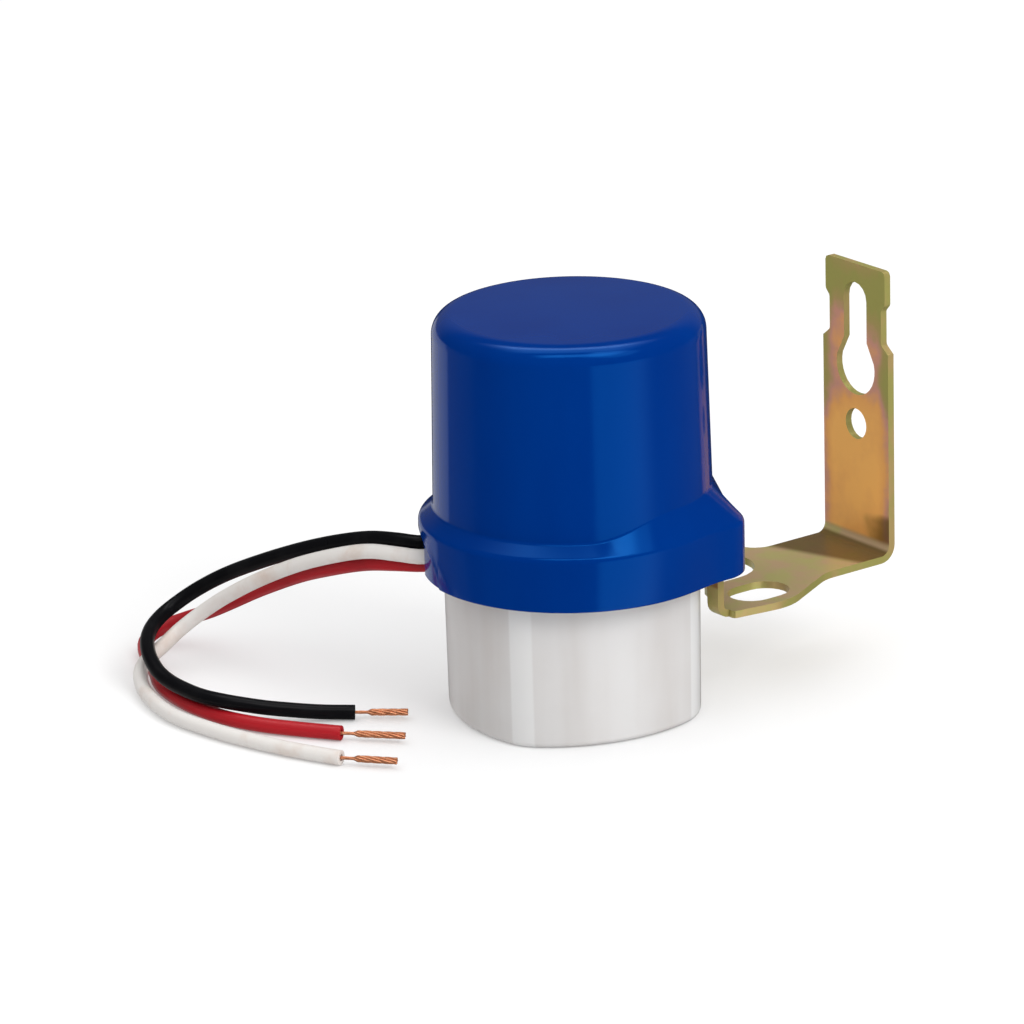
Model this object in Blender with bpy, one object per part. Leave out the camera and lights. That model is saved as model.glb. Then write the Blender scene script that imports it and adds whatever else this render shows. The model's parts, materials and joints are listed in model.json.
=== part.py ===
"""Photocell switch for an outdoor lamp, modelled at its real size.

A blue hood stands on a translucent cup. A folded steel bracket grips the cup's flange with
two ears, and three leads leave the hood's skirt and lie in a loop on the surface.

Frame: metres, +Z up, the origin on the hood's axis at the cup's underside. +X points from
the hood to the bracket's upright leg.
"""

import math

import bmesh
import bpy
from mathutils import Matrix, Vector

MM = 0.001

# Clearance that touching pieces keep
GAP = 0.3 * MM

# Round shapes
HOOD_SEGMENTS = 84
SMALL_SEGMENTS = 20

# Hood: a drafted cylinder over a wider skirt
SKIRT_BOTTOM_Z = 29.9 * MM
SKIRT_RADIUS = 30.6 * MM
SKIRT_EDGE_Z = 40.6 * MM
SKIRT_EDGE_ROUND = 1.6 * MM
SKIRT_FOOT_ROUND = 0.5 * MM
DECK_Z = 43.0 * MM
HOOD_BASE_RADIUS = 27.65 * MM
HOOD_TOP_RADIUS = 26.8 * MM
HOOD_TOP_Z = 82.0 * MM
HOOD_TOP_ROUND = 4.2 * MM
HOOD_NECK_ROUND = 1.0 * MM
HOOD_WALL = 2.0 * MM

# The skirt's two lugs house the bracket's ears, under a ramp that climbs the hood
LUG_END_X = 24.0 * MM
LUG_HALF_WIDTH = 28.5 * MM
LUG_CORNER = 7.0 * MM
LUG_BLEND = 2.0 * MM
RAMP_Z = 46.8 * MM
RAMP_FOOT_ANGLE = math.radians(121.0)
RAMP_HEAD_ANGLE = math.radians(83.0)

# Cord exit: a shallow arched pocket in the skirt, with a slot through its floor
CORD_ANGLE = math.radians(146.0)
POCKET_HALF_WIDTH = 13.8 * MM
POCKET_TOP_Z = 38.8 * MM
POCKET_DEPTH = 0.7 * MM
CORD_SLOT_WIDTH = 7.4 * MM
CORD_SLOT_TOP_Z = 38.0 * MM

# How far a cutter reaches past the face that it cuts
CUT_PAST = 2.0 * MM

# Cord seal, a block in the cup's notch
SEAL_WIDTH = 9.2 * MM
SEAL_BOTTOM_Z = 28.3 * MM
SEAL_TOP_Z = 38.4 * MM
SEAL_CORNER = 1.0 * MM

# Translucent cup: four slightly bulged faces with soft corners, a flange and a spigot
CUP_FACE_DISTANCE = 24.3 * MM
CUP_FACE_RADIUS = 34.0 * MM
CUP_CORNER_BLEND = 1.3 * MM
CUP_CORNER_REACH = 2.0 * MM
CUP_FIRST_FACE_ANGLE = math.radians(-105.0)
CUP_DRAFT = 0.3 * MM
CUP_SHIFT = 0.6 * MM
CUP_FOOT_ROUND = 1.5 * MM
CUP_WALL = 1.8 * MM
CUP_SHOULDER_Z = 31.0 * MM
FLANGE_THICKNESS = 2.0 * MM
SPIGOT_TOP_Z = 46.6 * MM
SPIGOT_WALL = 1.8 * MM
RING_SECTION = 0.9 * MM
RING_GROOVE_Z = 44.6 * MM

# Board and its posts inside the cup
BOARD_RADIUS = 22.6 * MM
BOARD_THICKNESS = 1.6 * MM
BOARD_Z = 40.0 * MM
POST_RADIUS = 2.9 * MM
POST_REACH = 18.6 * MM
POST_ANGLE = math.radians(56.0)
SCREW_SHANK = 2.6 * MM
SCREW_HEAD = 5.2 * MM
SCREW_HEAD_HEIGHT = 1.8 * MM
SCREW_LENGTH = 9.0 * MM
SCREW_SEGMENTS = 16
SMALL_HOLE_SEGMENTS = 12

# Blocks on the board: size, place in plan and turn
BLOCK_EDGE = 0.6 * MM
RELAY_SIZE = (19.0 * MM, 15.4 * MM, 15.2 * MM)
RELAY_PLACE = (7.5 * MM, -4.5 * MM)
FILM_SIZE = (17.5 * MM, 7.0 * MM, 13.0 * MM)
FILM_PLACE = (-2.0 * MM, 7.6 * MM)
FILM_TURN = math.radians(12.0)

# Smoothing capacitor: a can with a groove near its foot
CAN_RADIUS = 4.0 * MM
CAN_HEIGHT = 12.0 * MM
CAN_EDGE = 0.4 * MM
CAN_GROOVE_Z = 2.0 * MM
CAN_GROOVE_DEPTH = 0.3 * MM
CAN_PLACE = (-9.2 * MM, -3.0 * MM)

# Varistor and transistors stand on legs
LEG_RISE = 2.0 * MM
VARISTOR_RADIUS = 4.2 * MM
VARISTOR_THICKNESS = 3.0 * MM
VARISTOR_EDGE = 0.8 * MM
VARISTOR_LEG_RADIUS = 0.35 * MM
VARISTOR_LEG_SIDE = 2.5 * MM
VARISTOR_PLACE = (-17.0 * MM, 2.6 * MM)
TRANSISTOR_RADIUS = 2.3 * MM
TRANSISTOR_HEIGHT = 4.6 * MM
TRANSISTOR_LEG = 0.5 * MM
TRANSISTOR_LEG_PITCH = 1.27 * MM
TRANSISTOR_PLACES = ((-16.2 * MM, -4.6 * MM), (-15.6 * MM, -10.0 * MM))

# Diodes and resistors lie on the board, with a wire bent down at each end
WIRE_WIDTH = 0.6 * MM
WIRE_OUT = 1.4 * MM
DIODE_LENGTH = 4.8 * MM
DIODE_RADIUS = 1.3 * MM
DIODE_FIRST_PLACE = (-5.2 * MM, -16.8 * MM)
DIODE_PITCH = 3.8 * MM
DIODE_COUNT = 4
ZENER_LENGTH = 3.8 * MM
ZENER_RADIUS = 0.95 * MM
ZENER_PLACE = (1.6 * MM, 17.0 * MM, math.radians(-15.0))
RESISTOR_LENGTH = 6.4 * MM
RESISTOR_RADIUS = 1.2 * MM
RESISTOR_PLACES = (
    (14.6 * MM, 9.0 * MM, math.radians(60.0)),
    (19.6 * MM, -2.0 * MM, math.radians(90.0)),
    (-9.0 * MM, 15.4 * MM, math.radians(25.0)),
)

# Light sensor in its sleeve under the board
SLEEVE_RADIUS = 3.3 * MM
SLEEVE_BORE = 3.8 * MM
SLEEVE_LENGTH = 7.0 * MM
SENSOR_RADIUS = 2.55 * MM
SENSOR_HEIGHT = 2.1 * MM
SENSOR_EDGE = 0.35 * MM
SENSOR_LEG_RADIUS = 0.25 * MM
SENSOR_LEG_SIDE = 1.2 * MM

# Bracket: one folded sheet
SHEET = 1.5 * MM
PLATE_TOP_Z = 21.1 * MM
EAR_X = 18.3 * MM
EAR_TOP_Z = 38.0 * MM
EAR_INNER_Y = 19.0 * MM
EAR_OUTER_Y = 22.4 * MM
EAR_BEND = 1.2 * MM
LEG_X = 66.2 * MM
LEG_BEND = 2.0 * MM
LEG_TOP_Z = 80.2 * MM
LEG_CENTRE_Y = -7.8 * MM
LEG_WIDTH = 20.2 * MM
HEAD_WIDTH = 18.4 * MM
HEAD_CORNER = 1.0 * MM
NOTCH_WIDTH = 16.0 * MM
NOTCH_TOP = 7.0 * MM
NOTCH_TOP_SLANT = 1.3 * MM
NOTCH_BOTTOM = 16.2 * MM
NOTCH_BOTTOM_SLANT = 1.7 * MM
NOTCH_ROUND = 0.9 * MM
KEYHOLE_Z = 58.6 * MM
KEYHOLE_BORE = 11.8 * MM
KEYHOLE_SLOT_WIDTH = 7.0 * MM
KEYHOLE_SLOT_TOP_Z = 76.3 * MM
KEYHOLE_THROAT = 5.6 * MM
ROUND_HOLE_Z = 46.5 * MM
ROUND_HOLE = 6.4 * MM
PLATE_HALF_WIDTH = 25.9 * MM
PLATE_TIP_HALF_WIDTH = 24.0 * MM
PLATE_TIP_ROUND = 0.8 * MM
PLATE_WIDEST_NEAR_X = 34.0 * MM
PLATE_WIDEST_FAR_X = 37.5 * MM
NECK_NEAR_X = 49.5 * MM
NECK_FAR_X = 48.6 * MM
PLATE_CUP_CLEARANCE = 0.9 * MM
SLOT_CENTRE = (32.3 * MM, 17.7 * MM)
SLOT_LENGTH = 13.2 * MM
SLOT_WIDTH = 9.6 * MM
BAY_CENTRE_X = 34.5 * MM
BAY_RADIUS = 8.75 * MM

# Leads
LEAD_DIAMETER = 3.0 * MM
LEAD_STEP = 6.0 * MM
NECK_DIAMETER = 0.7 * MM
NECK_LENGTH = 3.2 * MM
BUNDLE_DIAMETER = 1.45 * MM
LEAD_STRAIGHT = 3.0 * MM
INNER_LEAD_STEP = 2.0 * MM
INNER_LEAD_REACH = 11.0 * MM

# Each lead: how far it sits to the side of the cord exit's middle and how high, how far to
# the side it meets the board, then the points that its middle passes outside and the tip of
# its stripped end, in millimetres, chosen by hand along the photographed loop
LEADS = {
    "black": {
        "exit": (-1.4 * MM, 34.9 * MM),
        "board_side": 0.0 * MM,
        "route": [
            (-26.8, 22.8, 34.8), (-28.6, 29.6, 33.8), (-31.0, 37.6, 31.5), (-33.3, 47.0, 28.0),
            (-35.5, 58.4, 23.0), (-37.9, 68.0, 18.2), (-41.3, 74.1, 14.0), (-46.3, 76.1, 10.8),
            (-50.5, 74.6, 9.6), (-53.9, 72.1, 8.9), (-57.0, 68.6, 8.3), (-59.5, 64.4, 7.5),
            (-61.0, 60.6, 6.6), (-61.8, 57.0, 5.7), (-62.0, 53.4, 5.1), (-62.1, 49.0, 4.9),
            (-61.7, 42.5, 4.9), (-60.0, 37.0, 4.9), (-57.3, 33.8, 4.4), (-54.0, 31.6, 3.6),
            (-50.2, 29.6, 2.8), (-44.3, 25.9, 1.9), (-38.8, 21.9, 1.6),
        ],
        "tip": (-30.8, 15.1, 1.6),
    },
    "white": {
        "exit": (1.7 * MM, 33.0 * MM),
        "board_side": 4.6 * MM,
        "route": [
            (-28.7, 19.9, 33.0), (-30.9, 26.8, 32.3), (-33.2, 34.5, 30.0), (-35.4, 45.0, 25.8),
            (-37.8, 55.4, 20.5), (-40.5, 63.9, 15.2), (-43.5, 68.6, 11.2), (-47.6, 70.6, 8.0),
            (-50.6, 70.2, 6.6), (-53.7, 69.2, 5.6), (-56.5, 68.2, 5.0), (-58.8, 67.1, 4.4),
            (-60.5, 65.9, 3.6), (-61.8, 64.2, 2.7), (-62.9, 62.0, 2.0), (-64.0, 59.2, 1.6),
            (-65.4, 54.9, 1.6), (-66.7, 49.4, 1.6), (-67.3, 43.0, 1.6), (-66.5, 35.6, 1.6),
            (-64.6, 26.3, 1.6), (-61.0, 15.2, 1.6), (-57.3, 6.6, 1.6), (-55.5, 3.0, 1.6),
        ],
        "tip": (-48.3, -5.5, 1.6),
    },
    "red": {
        "exit": (-1.7 * MM, 30.2 * MM),
        "board_side": -4.6 * MM,
        "route": [
            (-27.4, 23.0, 29.9), (-29.2, 30.4, 28.4), (-30.9, 39.0, 25.6), (-32.2, 49.3, 21.6),
            (-33.9, 61.0, 16.0), (-35.7, 69.0, 11.6), (-36.9, 75.4, 8.2), (-39.0, 81.0, 5.6),
            (-43.0, 84.2, 3.7), (-47.5, 83.5, 2.4), (-50.8, 79.3, 1.8), (-53.6, 73.1, 1.6),
            (-56.4, 66.8, 1.6), (-58.8, 62.0, 1.6), (-60.4, 57.0, 1.6), (-61.3, 50.5, 1.6),
            (-61.3, 43.4, 1.6), (-59.9, 35.5, 1.6), (-57.0, 28.4, 1.6), (-52.6, 21.2, 1.6),
            (-47.6, 14.1, 1.6),
        ],
        "tip": (-39.0, 4.7, 1.6),
    },
}


def clear_scene():
    """Remove every object that the opened file holds."""
    for obj in list(bpy.data.objects):
        bpy.data.objects.remove(obj, do_unlink=True)


def make_material(name, colour, roughness, metallic=0.0):
    """Return a Principled material with one colour."""
    material = bpy.data.materials.new(name)
    material.use_nodes = True
    shader = material.node_tree.nodes["Principled BSDF"]
    shader.inputs["Base Color"].default_value = (*colour, 1.0)
    shader.inputs["Roughness"].default_value = roughness
    shader.inputs["Metallic"].default_value = metallic
    material.diffuse_color = (*colour, 1.0)
    return material


def add_object(name, bm, material, smooth=True):
    """Turn a bmesh into a named object with outward normals, and free the bmesh."""
    bmesh.ops.recalc_face_normals(bm, faces=bm.faces[:])
    mesh = bpy.data.meshes.new(name)
    bm.to_mesh(mesh)
    bm.free()
    if smooth:
        mesh.shade_smooth()
        mesh.set_sharp_from_angle(angle=math.radians(35.0))
    obj = bpy.data.objects.new(name, mesh)
    bpy.context.scene.collection.objects.link(obj)
    if material is not None:
        mesh.materials.append(material)
    return obj


def add_cutter(name, bm):
    """Turn a bmesh into a hidden cutter object."""
    cutter = add_object(name, bm, None, smooth=False)
    cutter.hide_render = True
    cutter.display_type = "WIRE"
    return cutter


def apply_boolean(target, cutter, operation):
    """Apply one exact boolean to the target and remove the cutter."""
    modifier = target.modifiers.new("cut", "BOOLEAN")
    modifier.operation = operation
    modifier.solver = "EXACT"
    modifier.object = cutter
    bpy.context.view_layer.update()
    graph = bpy.context.evaluated_depsgraph_get()
    mesh = bpy.data.meshes.new_from_object(target.evaluated_get(graph))
    target.modifiers.clear()
    old = target.data
    target.data = mesh
    mesh.name = old.name
    bpy.data.meshes.remove(old)
    bpy.data.objects.remove(cutter, do_unlink=True)


def rounded_corners(corners):
    """Round the corners of a 2-D outline.

    Each corner is (u, v, radius, steps). A corner with a radius becomes an arc of
    steps + 1 points that touches both of its sides, and every other corner stays sharp.
    """
    points = []
    count = len(corners)
    for index, (u, v, radius, steps) in enumerate(corners):
        corner = Vector((u, v))
        if radius <= 0.0:
            points.append(corner)
            continue
        before = Vector(corners[index - 1][:2]) - corner
        after = Vector(corners[(index + 1) % count][:2]) - corner
        angle = before.angle(after)
        reach = radius / math.tan(angle / 2.0)
        start = corner + before.normalized() * reach
        middle = corner + (before.normalized() + after.normalized()).normalized() * (
            radius / math.sin(angle / 2.0))
        turn = (start - middle).angle_signed(corner + after.normalized() * reach - middle)
        for step in range(steps + 1):
            spun = Matrix.Rotation(-turn * step / steps, 2) @ (start - middle)
            points.append(middle + spun)
    return points


def arc(centre, radius, start, end, steps):
    """Return steps + 1 points on an arc, with its angles in degrees."""
    points = []
    for step in range(steps + 1):
        angle = math.radians(start + (end - start) * step / steps)
        points.append(Vector((centre[0] + radius * math.cos(angle),
                              centre[1] + radius * math.sin(angle))))
    return points


def smooth_max(first, second, blend):
    """Return the larger value, rounded off where the two are within the blend."""
    near = max(blend - abs(first - second), 0.0) / blend
    return max(first, second) + near * near * blend / 4.0


def smooth_step(value):
    """Ease a value from 0 to 1."""
    value = min(max(value, 0.0), 1.0)
    return value * value * (3.0 - 2.0 * value)


def loft(columns):
    """Join profile columns that stand round the Z axis into the skin of one body."""
    bm = bmesh.new()
    grid = [[bm.verts.new(point) for point in column] for column in columns]
    for index, column in enumerate(grid):
        following = grid[(index + 1) % len(grid)]
        for row in range(len(column) - 1):
            bm.faces.new((column[row], following[row], following[row + 1], column[row + 1]))
    bmesh.ops.remove_doubles(bm, verts=bm.verts[:], dist=0.001 * MM)
    return bm


def turned(profile, segments):
    """Turn a closed (radius, height) profile round the Z axis."""
    bm = bmesh.new()
    verts = [bm.verts.new((radius, 0.0, height)) for radius, height in profile]
    edges = [bm.edges.new((verts[i], verts[(i + 1) % len(verts)])) for i in range(len(verts))]
    bmesh.ops.spin(bm, geom=verts + edges, cent=(0, 0, 0), axis=(0, 0, 1),
                   angle=math.tau, steps=segments, use_merge=True)
    bmesh.ops.remove_doubles(bm, verts=bm.verts[:], dist=0.001 * MM)
    return bm


def prism(outline, low, high, to_point):
    """Extrude a closed 2-D outline from low to high, placed by to_point(u, v, w)."""
    bm = bmesh.new()
    face = bm.faces.new([bm.verts.new(to_point(p[0], p[1], low)) for p in outline])
    offset = Vector(to_point(0.0, 0.0, high)) - Vector(to_point(0.0, 0.0, low))
    swept = bmesh.ops.extrude_face_region(bm, geom=[face])
    moved = [item for item in swept["geom"] if isinstance(item, bmesh.types.BMVert)]
    bmesh.ops.translate(bm, vec=offset, verts=moved)
    return bm


def box(low, high):
    """Return a bmesh box between two corners."""
    bm = bmesh.new()
    bmesh.ops.create_cube(bm, size=1.0)
    size = [high[i] - low[i] for i in range(3)]
    middle = [(high[i] + low[i]) / 2.0 for i in range(3)]
    bmesh.ops.scale(bm, vec=size, verts=bm.verts[:])
    bmesh.ops.translate(bm, vec=middle, verts=bm.verts[:])
    return bm


def cylinder(radius, low, high, x=0.0, y=0.0, segments=SMALL_SEGMENTS):
    """Return an upright bmesh cylinder."""
    bm = bmesh.new()
    bmesh.ops.create_cone(bm, cap_ends=True, segments=segments, radius1=radius,
                          radius2=radius, depth=high - low)
    bmesh.ops.translate(bm, vec=(x, y, (low + high) / 2.0), verts=bm.verts[:])
    return bm


def plan_xy(u, v, w):
    """Place an outline drawn in plan."""
    return (u, v, w)


def plan_yz(u, v, w):
    """Place an outline drawn on the upright leg, with u along Y and v along Z."""
    return (w, u, v)


def plan_xz(u, v, w):
    """Place an outline drawn from the side, with u along X and v along Z."""
    return (u, w, v)


def cord_frame(side, height, reach):
    """Place a point at the cord exit: to its side, at a height, at a reach from the axis."""
    outward = Vector((math.cos(CORD_ANGLE), math.sin(CORD_ANGLE), 0.0))
    across = Vector((-math.sin(CORD_ANGLE), math.cos(CORD_ANGLE), 0.0))
    return outward * reach + across * side + Vector((0.0, 0.0, height))


def skirt_radius(angle, inset=0.0):
    """Return the skirt's plan radius at an angle: its circle joined with the two lugs."""
    circle = SKIRT_RADIUS - inset
    if math.cos(angle) <= 0.0:
        return circle
    end, half = LUG_END_X - inset, LUG_HALF_WIDTH - inset
    corner = LUG_CORNER - inset
    c, s = math.cos(angle), abs(math.sin(angle))
    lug = min(end / c, half / s if s > 1e-6 else 1.0)
    if lug * c > end - corner and lug * s > half - corner:
        along = c * (end - corner) + s * (half - corner)
        away = (end - corner) ** 2 + (half - corner) ** 2 - along * along
        lug = along + math.sqrt(max(corner * corner - away, 0.0))
    return smooth_max(circle, lug, LUG_BLEND)


def deck_height(angle):
    """Return how high the skirt's deck meets the hood, with the ramp over the lugs."""
    off_axis = abs(math.remainder(angle, math.tau))
    climb = (RAMP_FOOT_ANGLE - off_axis) / (RAMP_FOOT_ANGLE - RAMP_HEAD_ANGLE)
    return DECK_Z + (RAMP_Z - DECK_Z) * smooth_step(climb)


def hood_radius(height, inset=0.0):
    """Return the drafted hood's radius at a height."""
    share = (height - DECK_Z) / (HOOD_TOP_Z - DECK_Z)
    return HOOD_BASE_RADIUS + (HOOD_TOP_RADIUS - HOOD_BASE_RADIUS) * share - inset


def hood_column(angle):
    """Return the hood's closed profile at an angle, outer side then inner side."""
    skirt = skirt_radius(angle)
    deck = deck_height(angle)
    wall = HOOD_WALL
    inner_skirt = skirt_radius(angle, wall)
    profile = rounded_corners([
        (0.0, HOOD_TOP_Z, 0.0, 0),
        (hood_radius(HOOD_TOP_Z), HOOD_TOP_Z, HOOD_TOP_ROUND, 6),
        (hood_radius(deck), deck, HOOD_NECK_ROUND, 2),
        (skirt, SKIRT_EDGE_Z, SKIRT_EDGE_ROUND, 3),
        (skirt, SKIRT_BOTTOM_Z, SKIRT_FOOT_ROUND, 1),
        (inner_skirt, SKIRT_BOTTOM_Z, 0.0, 0),
        (inner_skirt, SKIRT_EDGE_Z - wall, 0.0, 0),
        (hood_radius(deck, wall), deck - wall, 0.0, 0),
        (hood_radius(HOOD_TOP_Z, wall), HOOD_TOP_Z - wall, HOOD_TOP_ROUND - wall, 3),
        (0.0, HOOD_TOP_Z - wall, 0.0, 0),
    ])
    return [(p[0] * math.cos(angle), p[0] * math.sin(angle), p[1]) for p in profile]


def make_hood_cap(material):
    """Moulded hood with its skirt, lugs, ramp and cord pocket."""
    angles = [math.tau * i / HOOD_SEGMENTS for i in range(HOOD_SEGMENTS)]
    hood = add_object("hood_cap", loft([hood_column(angle) for angle in angles]), material)
    apply_boolean(hood, pocket_cutter(), "DIFFERENCE")
    apply_boolean(hood, cord_slot_cutter(), "DIFFERENCE")
    hood.data.set_sharp_from_angle(angle=math.radians(35.0))
    return hood


def arch_outline(half_width, foot, top, steps):
    """Return an arch that stands on a straight foot, as (side, height) points."""
    points = [Vector((half_width, foot - CUT_PAST))]
    for step in range(steps + 1):
        angle = math.pi * step / steps
        points.append(Vector((half_width * math.cos(angle),
                              foot + (top - foot) * math.sin(angle))))
    points.append(Vector((-half_width, foot - CUT_PAST)))
    return points


def pocket_cutter():
    """Arched pocket that leaves a cylindrical floor just inside the skirt's face."""
    outline = arch_outline(POCKET_HALF_WIDTH, SKIRT_BOTTOM_Z, POCKET_TOP_Z, 14)
    bm = prism(outline, SKIRT_RADIUS / 2.0, SKIRT_RADIUS + CUT_PAST, cord_frame)
    cutter = add_cutter("pocket_cutter", bm)
    core = add_cutter("pocket_core", cylinder(
        SKIRT_RADIUS - POCKET_DEPTH, SKIRT_BOTTOM_Z - 2.0 * CUT_PAST, HOOD_TOP_Z,
        segments=HOOD_SEGMENTS))
    apply_boolean(cutter, core, "DIFFERENCE")
    return cutter


def cord_slot_cutter():
    """Round-topped slot through the skirt, open at its foot, for the three leads."""
    half = CORD_SLOT_WIDTH / 2.0
    outline = arch_outline(half, CORD_SLOT_TOP_Z - half, CORD_SLOT_TOP_Z, 8)
    outline[0].y = outline[-1].y = SKIRT_BOTTOM_Z - CUT_PAST
    reach = SKIRT_RADIUS - POCKET_DEPTH - HOOD_WALL
    bm = prism(outline, reach - CUT_PAST / 2.0, SKIRT_RADIUS + CUT_PAST, cord_frame)
    return add_cutter("cord_slot_cutter", bm)


def cup_radius(angle, inset=0.0):
    """Return the cup's plan radius about its own centre, at its shoulder."""
    nearest = None
    for face in range(4):
        normal = CUP_FIRST_FACE_ANGLE + face * math.pi / 2.0
        cosine = math.cos(angle - normal)
        if cosine <= 0.1:
            continue
        radius = CUP_FACE_RADIUS - inset
        back = CUP_FACE_RADIUS - CUP_FACE_DISTANCE
        reach = -back * cosine + math.sqrt(radius ** 2 - back ** 2 * (1.0 - cosine ** 2))
        if nearest is None:
            nearest = reach
        else:
            nearest = -smooth_max(-nearest, -reach, CUP_CORNER_BLEND)
    return nearest


def cup_body_point(angle, height, inset):
    """Return a point on the cup's body, whose centre sits a little towards the cords."""
    draft = CUP_DRAFT * (1.0 - height / CUP_SHOULDER_Z)
    radius = cup_radius(angle, inset + draft)
    return Vector((CUP_SHIFT * math.cos(CORD_ANGLE) + radius * math.cos(angle),
                   CUP_SHIFT * math.sin(CORD_ANGLE) + radius * math.sin(angle), height))


def axis_point(angle, radius, height):
    """Return a point at a radius from the hood's axis."""
    return Vector((radius * math.cos(angle), radius * math.sin(angle), height))


def spigot_radius():
    """Return the spigot's outer radius, which fits inside the hood."""
    return hood_radius(SPIGOT_TOP_Z, HOOD_WALL) - GAP


def cup_column(angle):
    """Return the cup's profile at an angle, from its foot up and down to its inner floor."""
    flange = skirt_radius(angle, HOOD_WALL + GAP)
    spigot = spigot_radius()
    groove = spigot - RING_SECTION - GAP + (hood_radius(RING_GROOVE_Z, HOOD_WALL) - spigot - GAP)
    half = RING_SECTION / 2.0 + GAP
    flange_top = CUP_SHOULDER_Z + FLANGE_THICKNESS
    column = []
    for step in range(4):
        turn = math.radians(30.0 * step)
        inset = CUP_FOOT_ROUND * (1.0 - math.sin(turn))
        column.append(cup_body_point(angle, CUP_FOOT_ROUND * (1.0 - math.cos(turn)), inset))
    column.append(cup_body_point(angle, CUP_SHOULDER_Z, 0.0))
    column += [
        axis_point(angle, flange, CUP_SHOULDER_Z),
        axis_point(angle, flange, flange_top),
        axis_point(angle, spigot, flange_top),
        axis_point(angle, spigot, RING_GROOVE_Z - half),
        axis_point(angle, groove, RING_GROOVE_Z - half),
        axis_point(angle, groove, RING_GROOVE_Z + half),
        axis_point(angle, spigot, RING_GROOVE_Z + half),
        axis_point(angle, spigot, SPIGOT_TOP_Z),
        axis_point(angle, spigot - SPIGOT_WALL, SPIGOT_TOP_Z),
        axis_point(angle, spigot - SPIGOT_WALL, flange_top),
        cup_body_point(angle, CUP_SHOULDER_Z, CUP_WALL),
        cup_body_point(angle, CUP_WALL + CUP_FOOT_ROUND, CUP_WALL),
        cup_body_point(angle, CUP_WALL, CUP_WALL + CUP_FOOT_ROUND),
    ]
    return column


def cup_mesh():
    """Loft the cup's columns and close its floor inside and outside."""
    angles = [math.tau * i / HOOD_SEGMENTS for i in range(HOOD_SEGMENTS)]
    bm = loft([cup_column(angle) for angle in angles])
    loops = [edge for edge in bm.edges if edge.is_boundary]
    bmesh.ops.holes_fill(bm, edges=loops, sides=0)
    return bm


def post_centres():
    """Return the two board posts' centres in plan."""
    return [Vector((POST_REACH * math.cos(POST_ANGLE + turn),
                    POST_REACH * math.sin(POST_ANGLE + turn))) for turn in (0.0, math.pi)]


def make_translucent_cup(material):
    """Moulded cup with its flange, spigot and two board posts."""
    cup = add_object("translucent_cup", cup_mesh(), material)
    for centre in post_centres():
        post = cylinder(POST_RADIUS, CUP_WALL / 2.0, BOARD_Z - GAP, centre.x, centre.y)
        apply_boolean(cup, add_cutter("post", post), "UNION")
        bore = cylinder(SCREW_SHANK / 2.0 + GAP, BOARD_Z - SCREW_LENGTH - CUT_PAST / 2.0,
                        BOARD_Z + CUT_PAST, centre.x, centre.y, SMALL_HOLE_SEGMENTS)
        apply_boolean(cup, add_cutter("bore", bore), "DIFFERENCE")
    for side in (-1.0, 1.0):
        low, high = sorted((side * (EAR_INNER_Y - GAP), side * (EAR_OUTER_Y + GAP)))
        slot = box((EAR_X - GAP, low, CUP_SHOULDER_Z - CUT_PAST),
                   (EAR_X + SHEET + GAP, high, CUP_SHOULDER_Z + FLANGE_THICKNESS + CUT_PAST))
        apply_boolean(cup, add_cutter("ear_slot", slot), "DIFFERENCE")
    seal = prism(seal_outline(GAP), seal_inner_reach() - CUT_PAST,
                 SKIRT_RADIUS + CUT_PAST, cord_frame)
    apply_boolean(cup, add_cutter("seal_notch", seal), "DIFFERENCE")
    cup.data.set_sharp_from_angle(angle=math.radians(35.0))
    return cup


def seal_outline(clearance):
    """Return the seal's face, or the notch round it, as (side, height) points."""
    half = SEAL_WIDTH / 2.0 + clearance
    low = SEAL_BOTTOM_Z - clearance
    high = SEAL_TOP_Z + clearance
    return rounded_corners([(-half, low, SEAL_CORNER, 2), (half, low, SEAL_CORNER, 2),
                            (half, high, SEAL_CORNER, 2), (-half, high, SEAL_CORNER, 2)])


def seal_inner_reach():
    """Return how far from the axis the seal's inner face stands."""
    return spigot_radius() - SPIGOT_WALL


def seal_outer_reach():
    """Return how far from the axis the seal's outer face stands, inside the skirt."""
    inside = SKIRT_RADIUS - HOOD_WALL - GAP
    half = SEAL_WIDTH / 2.0
    return math.sqrt(inside ** 2 - half ** 2) - GAP


def make_cord_seal(material):
    """Rubber block in the cup's notch, which the leads pass through."""
    bm = prism(seal_outline(0.0), seal_inner_reach(), seal_outer_reach(), cord_frame)
    return add_object("cord_seal", bm, material)


def make_sealing_ring(material):
    """Rubber ring in the spigot's groove, against the hood's inner wall."""
    outer = hood_radius(RING_GROOVE_Z, HOOD_WALL) - GAP
    centre = (outer - RING_SECTION / 2.0, RING_GROOVE_Z)
    profile = arc(centre, RING_SECTION / 2.0, 0.0, 315.0, 7)
    return add_object("sealing_ring", turned(profile, 48), material)


def make_circuit_board(material):
    """Round board with a hole for each screw."""
    board = add_object("circuit_board", cylinder(
        BOARD_RADIUS, BOARD_Z, BOARD_Z + BOARD_THICKNESS, segments=48), material)
    for centre in post_centres():
        hole = cylinder(SCREW_SHANK / 2.0 + GAP, BOARD_Z - CUT_PAST,
                        BOARD_Z + BOARD_THICKNESS + CUT_PAST, centre.x, centre.y,
                        SMALL_HOLE_SEGMENTS)
        apply_boolean(board, add_cutter("screw_hole", hole), "DIFFERENCE")
    board.data.set_sharp_from_angle(angle=math.radians(35.0))
    return board


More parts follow.
